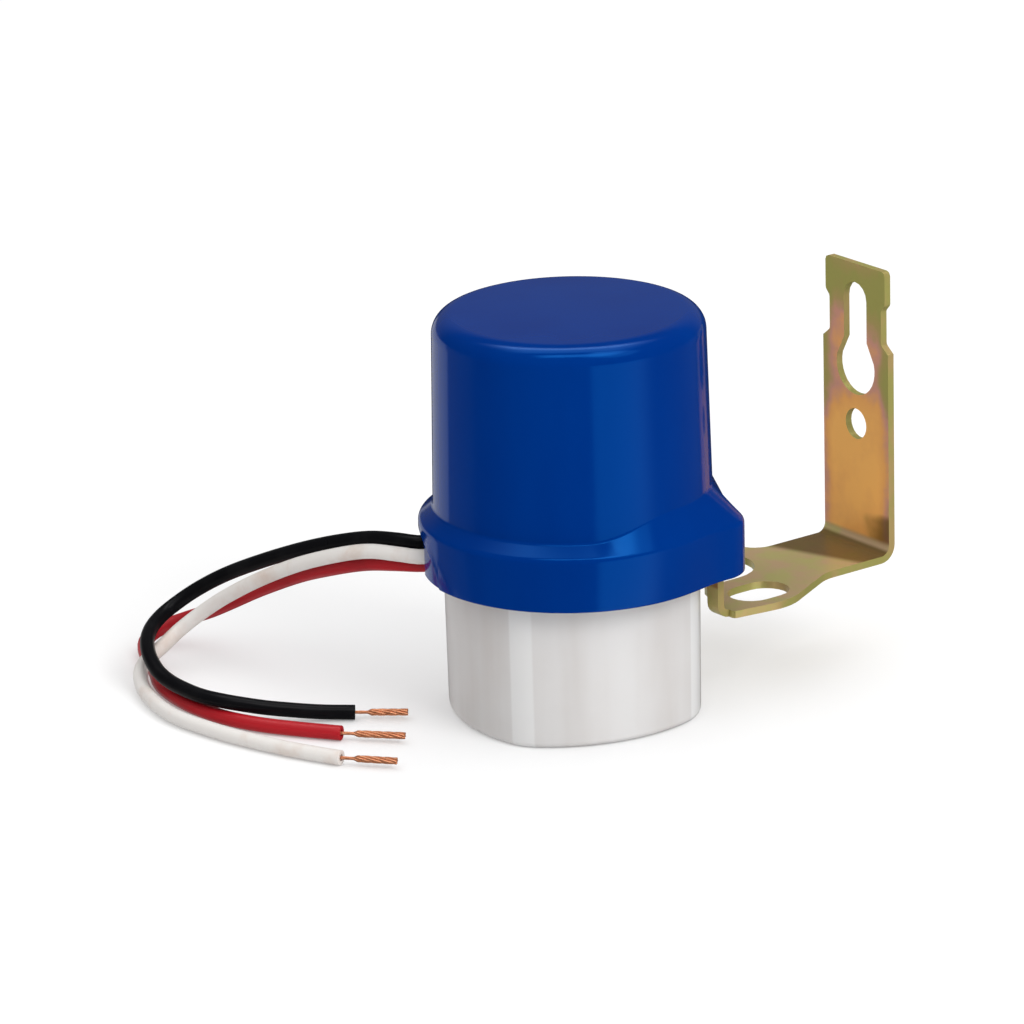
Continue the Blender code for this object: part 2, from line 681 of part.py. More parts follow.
def make_board_screws(material):
    """Two pan-head screws that hold the board on its posts."""
    seat = BOARD_Z + BOARD_THICKNESS + GAP
    profile = [
        (0.0, seat + SCREW_HEAD_HEIGHT),
        (SCREW_HEAD * 0.3, seat + SCREW_HEAD_HEIGHT),
        (SCREW_HEAD * 0.46, seat + SCREW_HEAD_HEIGHT * 0.6),
        (SCREW_HEAD / 2.0, seat),
        (SCREW_SHANK / 2.0, seat),
        (SCREW_SHANK / 2.0, seat - SCREW_LENGTH + SCREW_SHANK / 2.0),
        (0.0, seat - SCREW_LENGTH),
    ]
    screws = []
    for number, centre in enumerate(post_centres(), start=1):
        bm = turned(profile, SCREW_SEGMENTS)
        bmesh.ops.translate(bm, vec=(centre.x, centre.y, 0.0), verts=bm.verts[:])
        screws.append(add_object(f"board_screw_{number}", bm, material))
    return screws


def board_top():
    """Return the height at which parts sit on the board."""
    return BOARD_Z + BOARD_THICKNESS + GAP


def rounded_block(size, place, turn=0.0):
    """Return an upright block with rounded edges that stands on the board."""
    bm = box((-size[0] / 2.0, -size[1] / 2.0, 0.0), (size[0] / 2.0, size[1] / 2.0, size[2]))
    bmesh.ops.bevel(bm, geom=bm.edges[:], offset=BLOCK_EDGE, segments=2, affect="EDGES",
                    profile=0.5)
    bmesh.ops.rotate(bm, cent=(0, 0, 0), matrix=Matrix.Rotation(turn, 3, "Z"),
                     verts=bm.verts[:])
    bmesh.ops.translate(bm, vec=(*place, board_top()), verts=bm.verts[:])
    return bm


def make_smoothing_capacitor(material):
    """Upright can whose sleeve is rolled in near its foot."""
    narrow = CAN_RADIUS - CAN_GROOVE_DEPTH
    profile = [
        (0.0, 0.0), (CAN_RADIUS - CAN_EDGE, 0.0), (CAN_RADIUS, CAN_EDGE),
        (CAN_RADIUS, CAN_GROOVE_Z - CAN_EDGE), (narrow, CAN_GROOVE_Z),
        (CAN_RADIUS, CAN_GROOVE_Z + CAN_EDGE), (CAN_RADIUS, CAN_HEIGHT - CAN_EDGE),
        (CAN_RADIUS - CAN_EDGE, CAN_HEIGHT), (0.0, CAN_HEIGHT),
    ]
    bm = turned(profile, SMALL_SEGMENTS)
    bmesh.ops.translate(bm, vec=(*CAN_PLACE, board_top()), verts=bm.verts[:])
    return add_object("smoothing_capacitor", bm, material)


def make_board_parts(materials):
    """Relay, capacitors, varistor and transistors on the board."""
    add_object("relay", rounded_block(RELAY_SIZE, RELAY_PLACE), materials["relay_blue"])
    add_object("dropper_capacitor", rounded_block(FILM_SIZE, FILM_PLACE, FILM_TURN),
               materials["capacitor"])
    make_smoothing_capacitor(materials["sleeve"])
    make_varistor(materials["varistor"])
    for number, (x, y) in enumerate(TRANSISTOR_PLACES, start=1):
        make_transistor(f"transistor_{number}", x, y, materials["epoxy"])


def make_varistor(material):
    """Coated disc that stands on edge over the board, on two short legs."""
    centre = Vector((*VARISTOR_PLACE, board_top() + VARISTOR_RADIUS + LEG_RISE))
    bm = bmesh.new()
    bmesh.ops.create_cone(bm, cap_ends=True, segments=18, radius1=VARISTOR_RADIUS,
                          radius2=VARISTOR_RADIUS, depth=VARISTOR_THICKNESS,
                          matrix=Matrix.Rotation(math.pi / 2.0, 4, "Y"))
    rims = [edge for edge in bm.edges if abs(edge.verts[0].co.x - edge.verts[1].co.x) < MM / 100]
    bmesh.ops.bevel(bm, geom=rims, offset=VARISTOR_EDGE, segments=2, affect="EDGES",
                    profile=0.5)
    bmesh.ops.translate(bm, vec=centre, verts=bm.verts[:])
    disc = add_object("varistor", bm, material)
    for side in (-VARISTOR_LEG_SIDE, VARISTOR_LEG_SIDE):
        leg = cylinder(VARISTOR_LEG_RADIUS, board_top(), centre.z - VARISTOR_RADIUS / 4.0,
                       centre.x, centre.y + side, 8)
        apply_boolean(disc, add_cutter("leg", leg), "UNION")


def make_transistor(name, x, y, material):
    """Half-round plastic body over three legs."""
    outline = arc((0.0, 0.0), TRANSISTOR_RADIUS, -50.0, 230.0, 10)
    bottom = board_top() + LEG_RISE
    bm = prism(outline, bottom, bottom + TRANSISTOR_HEIGHT, plan_xy)
    bmesh.ops.translate(bm, vec=(x, y, 0.0), verts=bm.verts[:])
    body = add_object(name, bm, material)
    half = TRANSISTOR_LEG / 2.0
    for place in (-1, 0, 1):
        middle = x + place * TRANSISTOR_LEG_PITCH
        leg = box((middle - half, y - half, board_top()),
                  (middle + half, y + half, bottom + LEG_RISE / 2.0))
        apply_boolean(body, add_cutter("leg", leg), "UNION")


def axial_part(name, length, radius, place, material):
    """Lying round body whose two wires bend down into the board.

    The place is (x, y, turn), with the turn in radians.
    """
    x, y, turn = place
    wire = WIRE_WIDTH / 2.0
    rise = radius + wire
    span = length / 2.0 + WIRE_OUT
    edge = 0.2 * radius
    profile = [(0.0, -length / 2.0), (radius - edge, -length / 2.0),
               (radius, -length / 2.0 + edge), (radius, length / 2.0 - edge),
               (radius - edge, length / 2.0), (0.0, length / 2.0)]
    bm = turned(profile, SMALL_HOLE_SEGMENTS)
    bmesh.ops.rotate(bm, cent=(0, 0, 0), matrix=Matrix.Rotation(math.pi / 2.0, 3, "Y"),
                     verts=bm.verts[:])
    ground = Matrix.Translation((x, y, board_top())) @ Matrix.Rotation(turn, 4, "Z")
    bmesh.ops.transform(bm, matrix=ground @ Matrix.Translation((0, 0, rise)), verts=bm.verts[:])
    body = add_object(name, bm, material)
    outline = [(-span - wire, 0.0), (-span + wire, 0.0), (-span + wire, rise - wire),
               (span - wire, rise - wire), (span - wire, 0.0), (span + wire, 0.0),
               (span + wire, rise + wire), (-span - wire, rise + wire)]
    legs = prism(outline, -wire, wire, plan_xz)
    bmesh.ops.transform(legs, matrix=ground, verts=legs.verts[:])
    apply_boolean(body, add_cutter("wires", legs), "UNION")
    body.data.set_sharp_from_angle(angle=math.radians(35.0))
    return body


def make_axial_parts(materials):
    """Diodes and resistors that lie on the board."""
    for number in range(DIODE_COUNT):
        place = (DIODE_FIRST_PLACE[0] + DIODE_PITCH * number, DIODE_FIRST_PLACE[1], math.pi / 2.0)
        axial_part(f"rectifier_diode_{number + 1}", DIODE_LENGTH, DIODE_RADIUS, place,
                   materials["epoxy"])
    axial_part("zener_diode", ZENER_LENGTH, ZENER_RADIUS, ZENER_PLACE, materials["glass_red"])
    for number, place in enumerate(RESISTOR_PLACES, start=1):
        axial_part(f"resistor_{number}", RESISTOR_LENGTH, RESISTOR_RADIUS, place,
                   materials["resistor"])


def make_sensor(materials):
    """Photoresistor facing down into the cup, in a sleeve under the board."""
    top = BOARD_Z - GAP
    bore = SLEEVE_BORE / 2.0
    sleeve = add_object("sensor_holder", turned([
        (bore, top), (bore, top - SLEEVE_LENGTH), (SLEEVE_RADIUS, top - SLEEVE_LENGTH),
        (SLEEVE_RADIUS, top)], 24), materials["epoxy"])
    face = top - SLEEVE_LENGTH - GAP
    sensor = add_object("photoresistor", turned([
        (0.0, face), (SENSOR_RADIUS, face), (SENSOR_RADIUS, face - SENSOR_HEIGHT + SENSOR_EDGE),
        (SENSOR_RADIUS - SENSOR_EDGE, face - SENSOR_HEIGHT), (0.0, face - SENSOR_HEIGHT)], 24),
        materials["sensor"])
    for side in (-SENSOR_LEG_SIDE, SENSOR_LEG_SIDE):
        leg = cylinder(SENSOR_LEG_RADIUS, face - SENSOR_HEIGHT / 4.0, top, side, 0.0, 8)
        apply_boolean(sensor, add_cutter("leg", leg), "UNION")
    sensor.data.set_sharp_from_angle(angle=math.radians(35.0))
    return sleeve, sensor


def bracket_section():
    """Return the folded sheet's side view: ear, plate and upright leg."""
    ear_centre = (EAR_X + SHEET + EAR_BEND, PLATE_TOP_Z + EAR_BEND)
    leg_centre = (LEG_X - LEG_BEND, PLATE_TOP_Z + LEG_BEND)
    outer = [Vector((EAR_X, EAR_TOP_Z))]
    outer += arc(ear_centre, EAR_BEND + SHEET, 180.0, 270.0, 5)
    outer += arc(leg_centre, LEG_BEND + SHEET, 270.0, 360.0, 6)
    outer.append(Vector((LEG_X + SHEET, LEG_TOP_Z)))
    inner = [Vector((LEG_X, LEG_TOP_Z))]
    inner += arc(leg_centre, LEG_BEND, 360.0, 270.0, 6)
    inner += arc(ear_centre, EAR_BEND, 270.0, 180.0, 5)
    inner.append(Vector((EAR_X + SHEET, EAR_TOP_Z)))
    return outer + inner


def bracket_plan():
    """Return the sheet's plan: two prongs with ears, a bay between them and the neck."""
    left = EAR_X - CUT_PAST / 2.0
    bend_end = EAR_X + SHEET + EAR_BEND
    far_x = LEG_X + SHEET + CUT_PAST
    near_y = LEG_CENTRE_Y - LEG_WIDTH / 2.0
    far_y = LEG_CENTRE_Y + LEG_WIDTH / 2.0
    cup_clear = CUP_FACE_DISTANCE + CUP_CORNER_REACH + PLATE_CUP_CLEARANCE
    mouth_x = math.sqrt(cup_clear ** 2 - BAY_RADIUS ** 2)
    ear_foot_y = math.sqrt(cup_clear ** 2 - bend_end ** 2)
    outline = rounded_corners([
        (left, -EAR_OUTER_Y, 0.0, 0),
        (bend_end, -EAR_OUTER_Y, 0.0, 0),
        (bend_end, -PLATE_TIP_HALF_WIDTH, PLATE_TIP_ROUND, 2),
        (PLATE_WIDEST_NEAR_X, -PLATE_HALF_WIDTH, 12.0 * MM, 5),
        (NECK_NEAR_X, near_y, 9.0 * MM, 5),
        (far_x, near_y, 0.0, 0),
        (far_x, far_y, 0.0, 0),
        (NECK_FAR_X, far_y, 5.0 * MM, 5),
        (PLATE_WIDEST_FAR_X, PLATE_HALF_WIDTH, 9.0 * MM, 6),
        (bend_end, PLATE_TIP_HALF_WIDTH, PLATE_TIP_ROUND, 2),
        (bend_end, EAR_OUTER_Y, 0.0, 0),
        (left, EAR_OUTER_Y, 0.0, 0),
        (left, EAR_INNER_Y, 0.0, 0),
        (bend_end, EAR_INNER_Y, 0.0, 0),
    ])
    start = math.degrees(math.atan2(ear_foot_y, bend_end))
    end = math.degrees(math.atan2(BAY_RADIUS, mouth_x))
    outline += arc((0.0, 0.0), cup_clear, start, end, 4)
    outline += arc((BAY_CENTRE_X, 0.0), BAY_RADIUS, 90.0, -90.0, 12)
    outline += arc((0.0, 0.0), cup_clear, -end, -start, 4)
    outline += [Vector((bend_end, -EAR_INNER_Y)), Vector((left, -EAR_INNER_Y))]
    return outline


def leg_side_cutters():
    """Return cutters that narrow the leg's head and notch both of its sides."""
    leg, head, notch = LEG_WIDTH / 2.0, HEAD_WIDTH / 2.0, NOTCH_WIDTH / 2.0
    top = LEG_TOP_Z
    far = leg + CUT_PAST
    side = rounded_corners([
        (far, top - NOTCH_BOTTOM - NOTCH_BOTTOM_SLANT / 2.0, 0.0, 0),
        (leg, top - NOTCH_BOTTOM - NOTCH_BOTTOM_SLANT / 2.0, NOTCH_ROUND, 3),
        (notch, top - NOTCH_BOTTOM + NOTCH_BOTTOM_SLANT / 2.0, NOTCH_ROUND, 3),
        (notch, top - NOTCH_TOP - NOTCH_TOP_SLANT, NOTCH_ROUND, 3),
        (head, top - NOTCH_TOP, NOTCH_ROUND, 2),
        (head, top - HEAD_CORNER, 0.0, 0),
        (head - HEAD_CORNER * 0.3, top - HEAD_CORNER * 0.3, 0.0, 0),
        (head - HEAD_CORNER, top, 0.0, 0),
        (head - HEAD_CORNER, top + CUT_PAST, 0.0, 0),
        (far, top + CUT_PAST, 0.0, 0),
    ])
    cutters = []
    for sign in (-1.0, 1.0):
        outline = [Vector((LEG_CENTRE_Y + sign * p[0], p[1])) for p in side]
        cutters.append(add_cutter("side_cutter", prism(
            outline, LEG_X - CUT_PAST, LEG_X + SHEET + CUT_PAST, plan_yz)))
    return cutters


def keyhole_outline():
    """Return the keyhole: a bore, a tapered throat and a round-topped slot."""
    bore, half = KEYHOLE_BORE / 2.0, KEYHOLE_SLOT_WIDTH / 2.0
    centre = (LEG_CENTRE_Y, KEYHOLE_Z)
    outline = arc((LEG_CENTRE_Y, KEYHOLE_SLOT_TOP_Z - half), half, 0.0, 180.0, 8)
    outline.append(Vector((LEG_CENTRE_Y - half, KEYHOLE_Z + KEYHOLE_THROAT)))
    outline += arc(centre, bore, 164.0, 376.0, 18)
    outline.append(Vector((LEG_CENTRE_Y + half, KEYHOLE_Z + KEYHOLE_THROAT)))
    return outline


def bracket_holes():
    """Return cutters for the keyhole, the round hole and the plate's two slots."""
    low, high = LEG_X - CUT_PAST, LEG_X + SHEET + CUT_PAST
    cutters = [
        add_cutter("keyhole", prism(keyhole_outline(), low, high, plan_yz)),
        add_cutter("round_hole", prism(arc(
            (LEG_CENTRE_Y, ROUND_HOLE_Z), ROUND_HOLE / 2.0, 0.0, 345.0, 23),
            low, high, plan_yz)),
    ]
    end = SLOT_WIDTH / 2.0
    run = (SLOT_LENGTH - SLOT_WIDTH) / 2.0
    for sign in (-1.0, 1.0):
        x, y = SLOT_CENTRE[0], sign * SLOT_CENTRE[1]
        outline = arc((x + run, y), end, -90.0, 90.0, 10) + arc((x - run, y), end, 90.0, 270.0, 10)
        cutters.append(add_cutter("slot", prism(
            outline, PLATE_TOP_Z - SHEET - CUT_PAST, PLATE_TOP_Z + CUT_PAST, plan_xy)))
    return cutters


def make_bracket(material):
    """Fold the sheet, trim it to its plan and punch its holes."""
    half = PLATE_HALF_WIDTH + CUT_PAST
    sheet = add_object("bracket", prism(bracket_section(), -half, half, plan_xz), material)
    plan = add_cutter("plan", prism(bracket_plan(), PLATE_TOP_Z - SHEET - CUT_PAST,
                                    LEG_TOP_Z + CUT_PAST, plan_xy))
    apply_boolean(sheet, plan, "INTERSECT")
    for cutter in leg_side_cutters() + bracket_holes():
        apply_boolean(sheet, cutter, "DIFFERENCE")
    sheet.data.shade_smooth()
    sheet.data.set_sharp_from_angle(angle=math.radians(30.0))
    return sheet


def smooth_route(points, step):
    """Return points at even steps along a smooth curve through the given points."""
    fine = []
    padded = [points[0] * 2.0 - points[1]] + points + [points[-1] * 2.0 - points[-2]]
    for index in range(1, len(padded) - 2):
        a, b, c, d = padded[index - 1:index + 3]
        for part in range(24):
            t = part / 24.0
            fine.append(0.5 * ((2.0 * b) + (c - a) * t + (2.0 * a - 5.0 * b + 4.0 * c - d) * t * t
                               + (3.0 * b - a - 3.0 * c + d) * t * t * t))
    fine.append(points[-1])
    total = sum((fine[i + 1] - fine[i]).length for i in range(len(fine) - 1))
    count = round(total / step)
    route, walked, target = [fine[0]], 0.0, total / count
    for i in range(len(fine) - 1):
        span = (fine[i + 1] - fine[i]).length
        while walked + span >= target and len(route) < count:
            route.append(fine[i].lerp(fine[i + 1], (target - walked) / span))
            target += total / count
        walked += span
    route.append(fine[-1])
    return route


def lead_points(lead):
    """Return a lead's own points, from just outside the seal to its cut end."""
    side, height = lead["exit"]
    start = seal_outer_reach() + GAP
    points = [cord_frame(side, height, start + part * LEAD_STRAIGHT) for part in (0.0, 1.0)]
    return points + [Vector(point) * MM for point in lead["route"]]


def inner_lead_points(lead):
    """Return the points of a lead's run from the seal's inner face up to the board."""
    side, height = lead["exit"]
    end_side = lead["board_side"]
    inside = seal_inner_reach() - GAP
    rise = BOARD_Z - GAP - LEAD_DIAMETER * 0.3
    return [
        cord_frame(side, height, inside),
        cord_frame(side, height, inside - LEAD_DIAMETER),
        cord_frame((side + end_side) / 2.0, (height + rise) / 2.0,
                   inside - INNER_LEAD_REACH * 0.7),
        cord_frame(end_side, rise, inside - INNER_LEAD_REACH),
    ]


def make_tube(name, points, material):
    """Round tube with filled ends along a run of points."""
    curve = bpy.data.curves.new(name, "CURVE")
    curve.dimensions = "3D"
    curve.bevel_depth = LEAD_DIAMETER / 2.0
    curve.bevel_resolution = 2
    curve.use_fill_caps = True
    spline = curve.splines.new("POLY")
    spline.points.add(len(points) - 1)
    for target, point in zip(spline.points, points):
        target.co = (*point, 1.0)
    spline.use_smooth = True
    curve.materials.append(material)
    tube = bpy.data.objects.new(name, curve)
    bpy.context.scene.collection.objects.link(tube)
    return tube


def make_conductor(name, end, tip, material):
    """Stripped copper end: a thin neck and the twisted bundle beyond it, up to its tip."""
    neck, bundle = NECK_DIAMETER / 2.0, BUNDLE_DIAMETER / 2.0
    direction = (tip - end).normalized()
    total = (tip - end).length - GAP
    profile = [(0.0, 0.0), (neck, 0.0), (neck, NECK_LENGTH - 0.5 * MM), (bundle, NECK_LENGTH),
               (bundle, total), (0.0, total)]
    bm = turned(profile, 12)
    turn = Vector((0.0, 0.0, 1.0)).rotation_difference(direction).to_matrix().to_4x4()
    place = Matrix.Translation(end + direction * GAP) @ turn
    bmesh.ops.transform(bm, matrix=place, verts=bm.verts[:])
    return add_object(name, bm, material)


def make_leads(materials):
    """Three leads: outside run, stripped end, and the run from the seal to the board."""
    for name, lead in LEADS.items():
        material = materials[f"pvc_{name}"]
        route = smooth_route(lead_points(lead), LEAD_STEP)
        make_tube(f"{name}_lead", route, material)
        make_conductor(f"{name}_conductor", route[-1], Vector(lead["tip"]) * MM,
                       materials["copper"])
        inner = smooth_route(inner_lead_points(lead), INNER_LEAD_STEP)
        make_tube(f"{name}_lead_inner", inner, material)


def main():
    """Build every piece of the switch."""
    clear_scene()
    materials = {
        "blue": make_material("blue_plastic", (0.0, 0.045, 0.30), 0.22),
        "white": make_material("white_plastic", (0.80, 0.80, 0.79), 0.35),
        "zinc": make_material("yellow_zinc", (0.56, 0.44, 0.24), 0.32, 1.0),
        "rubber": make_material("seal_rubber", (0.03, 0.03, 0.03), 0.7),
        "board": make_material("board_laminate", (0.05, 0.22, 0.09), 0.45),
        "steel": make_material("screw_steel", (0.6, 0.6, 0.62), 0.35, 1.0),
        "relay_blue": make_material("relay_case", (0.02, 0.12, 0.40), 0.4),
        "capacitor": make_material("capacitor_case", (0.55, 0.12, 0.05), 0.4),
        "sleeve": make_material("capacitor_sleeve", (0.02, 0.02, 0.05), 0.35),
        "varistor": make_material("varistor_coat", (0.05, 0.20, 0.50), 0.45),
        "epoxy": make_material("black_epoxy", (0.02, 0.02, 0.02), 0.5),
        "glass_red": make_material("diode_glass", (0.60, 0.20, 0.08), 0.2),
        "resistor": make_material("resistor_coat", (0.62, 0.50, 0.32), 0.5),
        "sensor": make_material("sensor_ceramic", (0.70, 0.45, 0.20), 0.4),
        "copper": make_material("bare_copper", (0.80, 0.42, 0.24), 0.35, 1.0),
        "pvc_black": make_material("black_insulation", (0.015, 0.015, 0.016), 0.35),
        "pvc_white": make_material("white_insulation", (0.75, 0.74, 0.72), 0.4),
        "pvc_red": make_material("red_insulation", (0.42, 0.02, 0.03), 0.35),
    }
    make_hood_cap(materials["blue"])
    make_translucent_cup(materials["white"])
    make_cord_seal(materials["rubber"])
    make_sealing_ring(materials["rubber"])
    make_circuit_board(materials["board"])
    make_board_screws(materials["steel"])
    make_board_parts(materials)
    make_axial_parts(materials)
    make_sensor(materials)
    make_bracket(materials["zinc"])
    make_leads(materials)


main()
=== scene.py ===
"""Looks of a photocell switch: a glossy blue hood on a translucent white cup, a folded
bracket with yellow zinc plating and three stripped leads that lie in a loop.

Every length is in metres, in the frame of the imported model: +Z up, the origin under the cup
on the hood's axis, +X from the hood to the bracket's upright leg.
"""

import enum
import json
import logging
import math
from dataclasses import dataclass
from typing import Callable, Union

import bmesh
import bpy
from mathutils import Matrix, Vector


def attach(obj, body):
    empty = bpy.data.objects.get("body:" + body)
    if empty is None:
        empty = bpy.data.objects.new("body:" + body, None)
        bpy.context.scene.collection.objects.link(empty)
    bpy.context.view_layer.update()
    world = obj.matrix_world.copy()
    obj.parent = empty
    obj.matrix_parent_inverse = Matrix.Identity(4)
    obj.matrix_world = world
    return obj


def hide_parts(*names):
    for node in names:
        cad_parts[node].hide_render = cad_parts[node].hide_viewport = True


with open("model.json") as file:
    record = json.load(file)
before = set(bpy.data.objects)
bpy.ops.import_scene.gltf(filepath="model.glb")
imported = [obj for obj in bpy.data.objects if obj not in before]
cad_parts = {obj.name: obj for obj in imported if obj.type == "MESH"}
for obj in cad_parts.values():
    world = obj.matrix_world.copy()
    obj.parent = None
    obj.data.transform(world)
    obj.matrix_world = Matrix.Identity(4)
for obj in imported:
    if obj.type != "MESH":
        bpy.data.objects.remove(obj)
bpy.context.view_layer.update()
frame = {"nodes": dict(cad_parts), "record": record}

LOG = logging.getLogger("photocell_switch")
MM = 0.001
BODY = "root"
SHARP = math.radians(35.0)
CUT_PAST = 2.0 * MM
SEAL_GAP = 0.3 * MM
SPAN_PARTS = 24
MADE: dict[str, bpy.types.Material] = {}
Colour = tuple[float, float, float]
Number = Union[float, "Wire"]


@dataclass(frozen=True)
class Wire:
    """One output of a shader node, which adds Math nodes when it is calculated with."""

    shader: "Shader"
    socket: bpy.types.NodeSocket

    def math(self, operation: str, first: Number, second: Number = 0.0) -> "Wire":
        """Add one Math node and return its result."""
        node = self.shader.node("ShaderNodeMath", {"operation": operation},
                                {0: first, 1: second})
        return Wire(self.shader, node.outputs[0])

    def __add__(self, other: Number) -> "Wire":
        """Return the sum."""
        return self.math("ADD", self, other)

    __radd__ = __add__

    def __sub__(self, other: Number) -> "Wire":
        """Return the difference."""
        return self.math("SUBTRACT", self, other)

    def __rsub__(self, other: Number) -> "Wire":
        """Return the difference, with this value taken away."""
        return self.math("SUBTRACT", other, self)

    def __mul__(self, other: Number) -> "Wire":
        """Return the product."""
        return self.math("MULTIPLY", self, other)

    __rmul__ = __mul__

    def __abs__(self) -> "Wire":
        """Return the size without its sign."""
        return self.math("ABSOLUTE", self)

    def step(self, low: float, high: float) -> "Wire":
        """Return a smooth step from 0 at low to 1 at high; low may be the larger."""
        flip = low > high
        ends = {1: min(low, high), 2: max(low, high), 3: float(flip), 4: float(not flip)}
        node = self.shader.node("ShaderNodeMapRange", {"interpolation_type": "SMOOTHSTEP"},
                                {0: self, **ends})
        return Wire(self.shader, node.outputs[0])

    def band(self, middle: float, half: float, soft: float) -> "Wire":
        """Return 1 within half of the middle, falling smoothly to 0 over soft."""
        return abs(self - middle).step(half + soft, half)


class Shader:
    """Builds the nodes of one material or world."""

    def __init__(self, tree: bpy.types.NodeTree) -> None:
        """Start from an empty tree.

        Args:
            tree: The node tree to fill.
        """
        self.tree = tree
        tree.nodes.clear()

    def node(self, kind: str, settings: dict | None = None,
             inputs: dict | None = None) -> bpy.types.Node:
        """Add one node.

        Args:
            kind: The node's type.
            settings: The node's own settings by name; a ramp's stops go under "stops".
            inputs: Values, wires or output sockets by the input's name or number.

        Returns:
            The new node.
        """
        node = self.tree.nodes.new(kind)
        for name, value in (settings or {}).items():
            if name == "stops":
                self._set_stops(node.color_ramp, value)
            else:
                setattr(node, name, value)
        for key, value in (inputs or {}).items():
            socket = node.inputs[key]
            if isinstance(value, Wire):
                self.tree.links.new(value.socket, socket)
            elif isinstance(value, bpy.types.NodeSocket):
                self.tree.links.new(value, socket)
            elif socket.type == "RGBA":
                socket.default_value = (*value, 1.0)
            else:
                socket.default_value = value
        return node

    @staticmethod
    def _set_stops(ramp: bpy.types.ColorRamp, stops: list[tuple[float, Colour]]) -> None:
        """Give a colour ramp its stops."""
        while len(ramp.elements) < len(stops):
            ramp.elements.new(1.0)
        for element, (place, colour) in zip(ramp.elements, stops):
            element.position = place
            element.color = (*colour, 1.0)

    def wire(self, node: bpy.types.Node, output: Union[int, str] = 0) -> Wire:
        """Return one of a node's outputs as a wire."""
        return Wire(self, node.outputs[output])

    def place(self) -> bpy.types.NodeSocket:
        """Return the Object coordinates, in metres."""
        return self.node("ShaderNodeTexCoord").outputs["Object"]

    def axes(self, vector: bpy.types.NodeSocket) -> tuple[Wire, Wire, Wire]:
        """Return the three parts of a vector."""
        split = self.node("ShaderNodeSeparateXYZ", {}, {0: vector})
        return self.wire(split, 0), self.wire(split, 1), self.wire(split, 2)

    def stretched(self, vector: bpy.types.NodeSocket, scale: Colour) -> bpy.types.NodeSocket:
        """Return a vector scaled along each axis."""
        return self.node("ShaderNodeMapping", {}, {"Vector": vector, "Scale": scale}).outputs[0]

    def noise(self, vector: bpy.types.NodeSocket, scale: float, detail: float = 2.0,
              roughness: float = 0.5) -> Wire:
        """Return a soft noise from 0 to 1."""
        node = self.node("ShaderNodeTexNoise", {}, {
            "Vector": vector, "Scale": scale, "Detail": detail, "Roughness": roughness})
        return self.wire(node, 0)

    def mix(self, factor: Number, first: Union[Colour, bpy.types.NodeSocket],
            second: Union[Colour, bpy.types.NodeSocket]) -> bpy.types.NodeSocket:
        """Return a blend of two colours."""
        node = self.node("ShaderNodeMix", {"data_type": "RGBA"},
                         {0: factor, 6: first, 7: second})
        return node.outputs[2]

    def ramp(self, factor: Wire, stops: list[tuple[float, Colour]]) -> bpy.types.NodeSocket:
        """Return a colour picked along a ramp."""
        return self.node("ShaderNodeValToRGB", {"stops": stops}, {0: factor}).outputs[0]

    def bump(self, height: Wire, depth: float) -> bpy.types.NodeSocket:
        """Return a normal raised by a height, whose full range is the depth in metres."""
        node = self.node("ShaderNodeBump", {}, {"Strength": 1.0, "Distance": depth,
                                                "Height": height})
        return node.outputs[0]

    def surface(self, inputs: dict) -> None:
        """Finish with a Principled shader and the material's output."""
        shader = self.node("ShaderNodeBsdfPrincipled", {}, inputs)
        self.node("ShaderNodeOutputMaterial", {}, {0: shader.outputs[0]})


class Finish:
    """A finish of the switch, made into a material by its own recipe."""

    name: str

    def recipe(self, shader: Shader) -> None:
        """Fill the shader; each finish says how."""
        raise NotImplementedError

    def material(self) -> bpy.types.Material:
        """Return the finish as a material, made once."""
        if self.name not in MADE:
            made = bpy.data.materials.new(f"{self.name}_finish")
            made.use_nodes = True
            self.recipe(Shader(made.node_tree))
            MADE[self.name] = made
        return MADE[self.name]


@dataclass(frozen=True)
class MouldedGloss(Finish):
    """Shiny moulded plastic with faint flow marks and a slightly uneven gloss."""

    name: str = "moulded_gloss"
    colour: Colour = (0.0, 0.029, 0.205)
    deep: Colour = (0.0, 0.025, 0.188)
    tint: Colour = (0.02, 0.35, 1.0)
    roughness: float = 0.10
    dust_roughness: float = 0.05
    flow_scale: Colour = (60.0, 60.0, 18.0)
    dust_scale: float = 900.0
    ripple_scale: float = 140.0
    ripple_depth: float = 0.006 * MM

    def recipe(self, shader: Shader) -> None:
        """Mix two close blues along the flow and ripple the gloss."""
        place = shader.place()
        flow = shader.noise(shader.stretched(place, self.flow_scale), 1.0, 3.0)
        dust = shader.noise(place, self.dust_scale, 4.0, 0.6)
        colour = shader.mix(flow.step(0.3, 0.7), self.colour, self.deep)
        ripple = shader.noise(place, self.ripple_scale)
        shader.surface({
            "Base Color": colour,
            "Roughness": dust.step(0.35, 0.8) * self.dust_roughness + self.roughness,
            "IOR": 1.49,
            "Specular Tint": self.tint,
            "Normal": shader.bump(ripple, self.ripple_depth),
        })


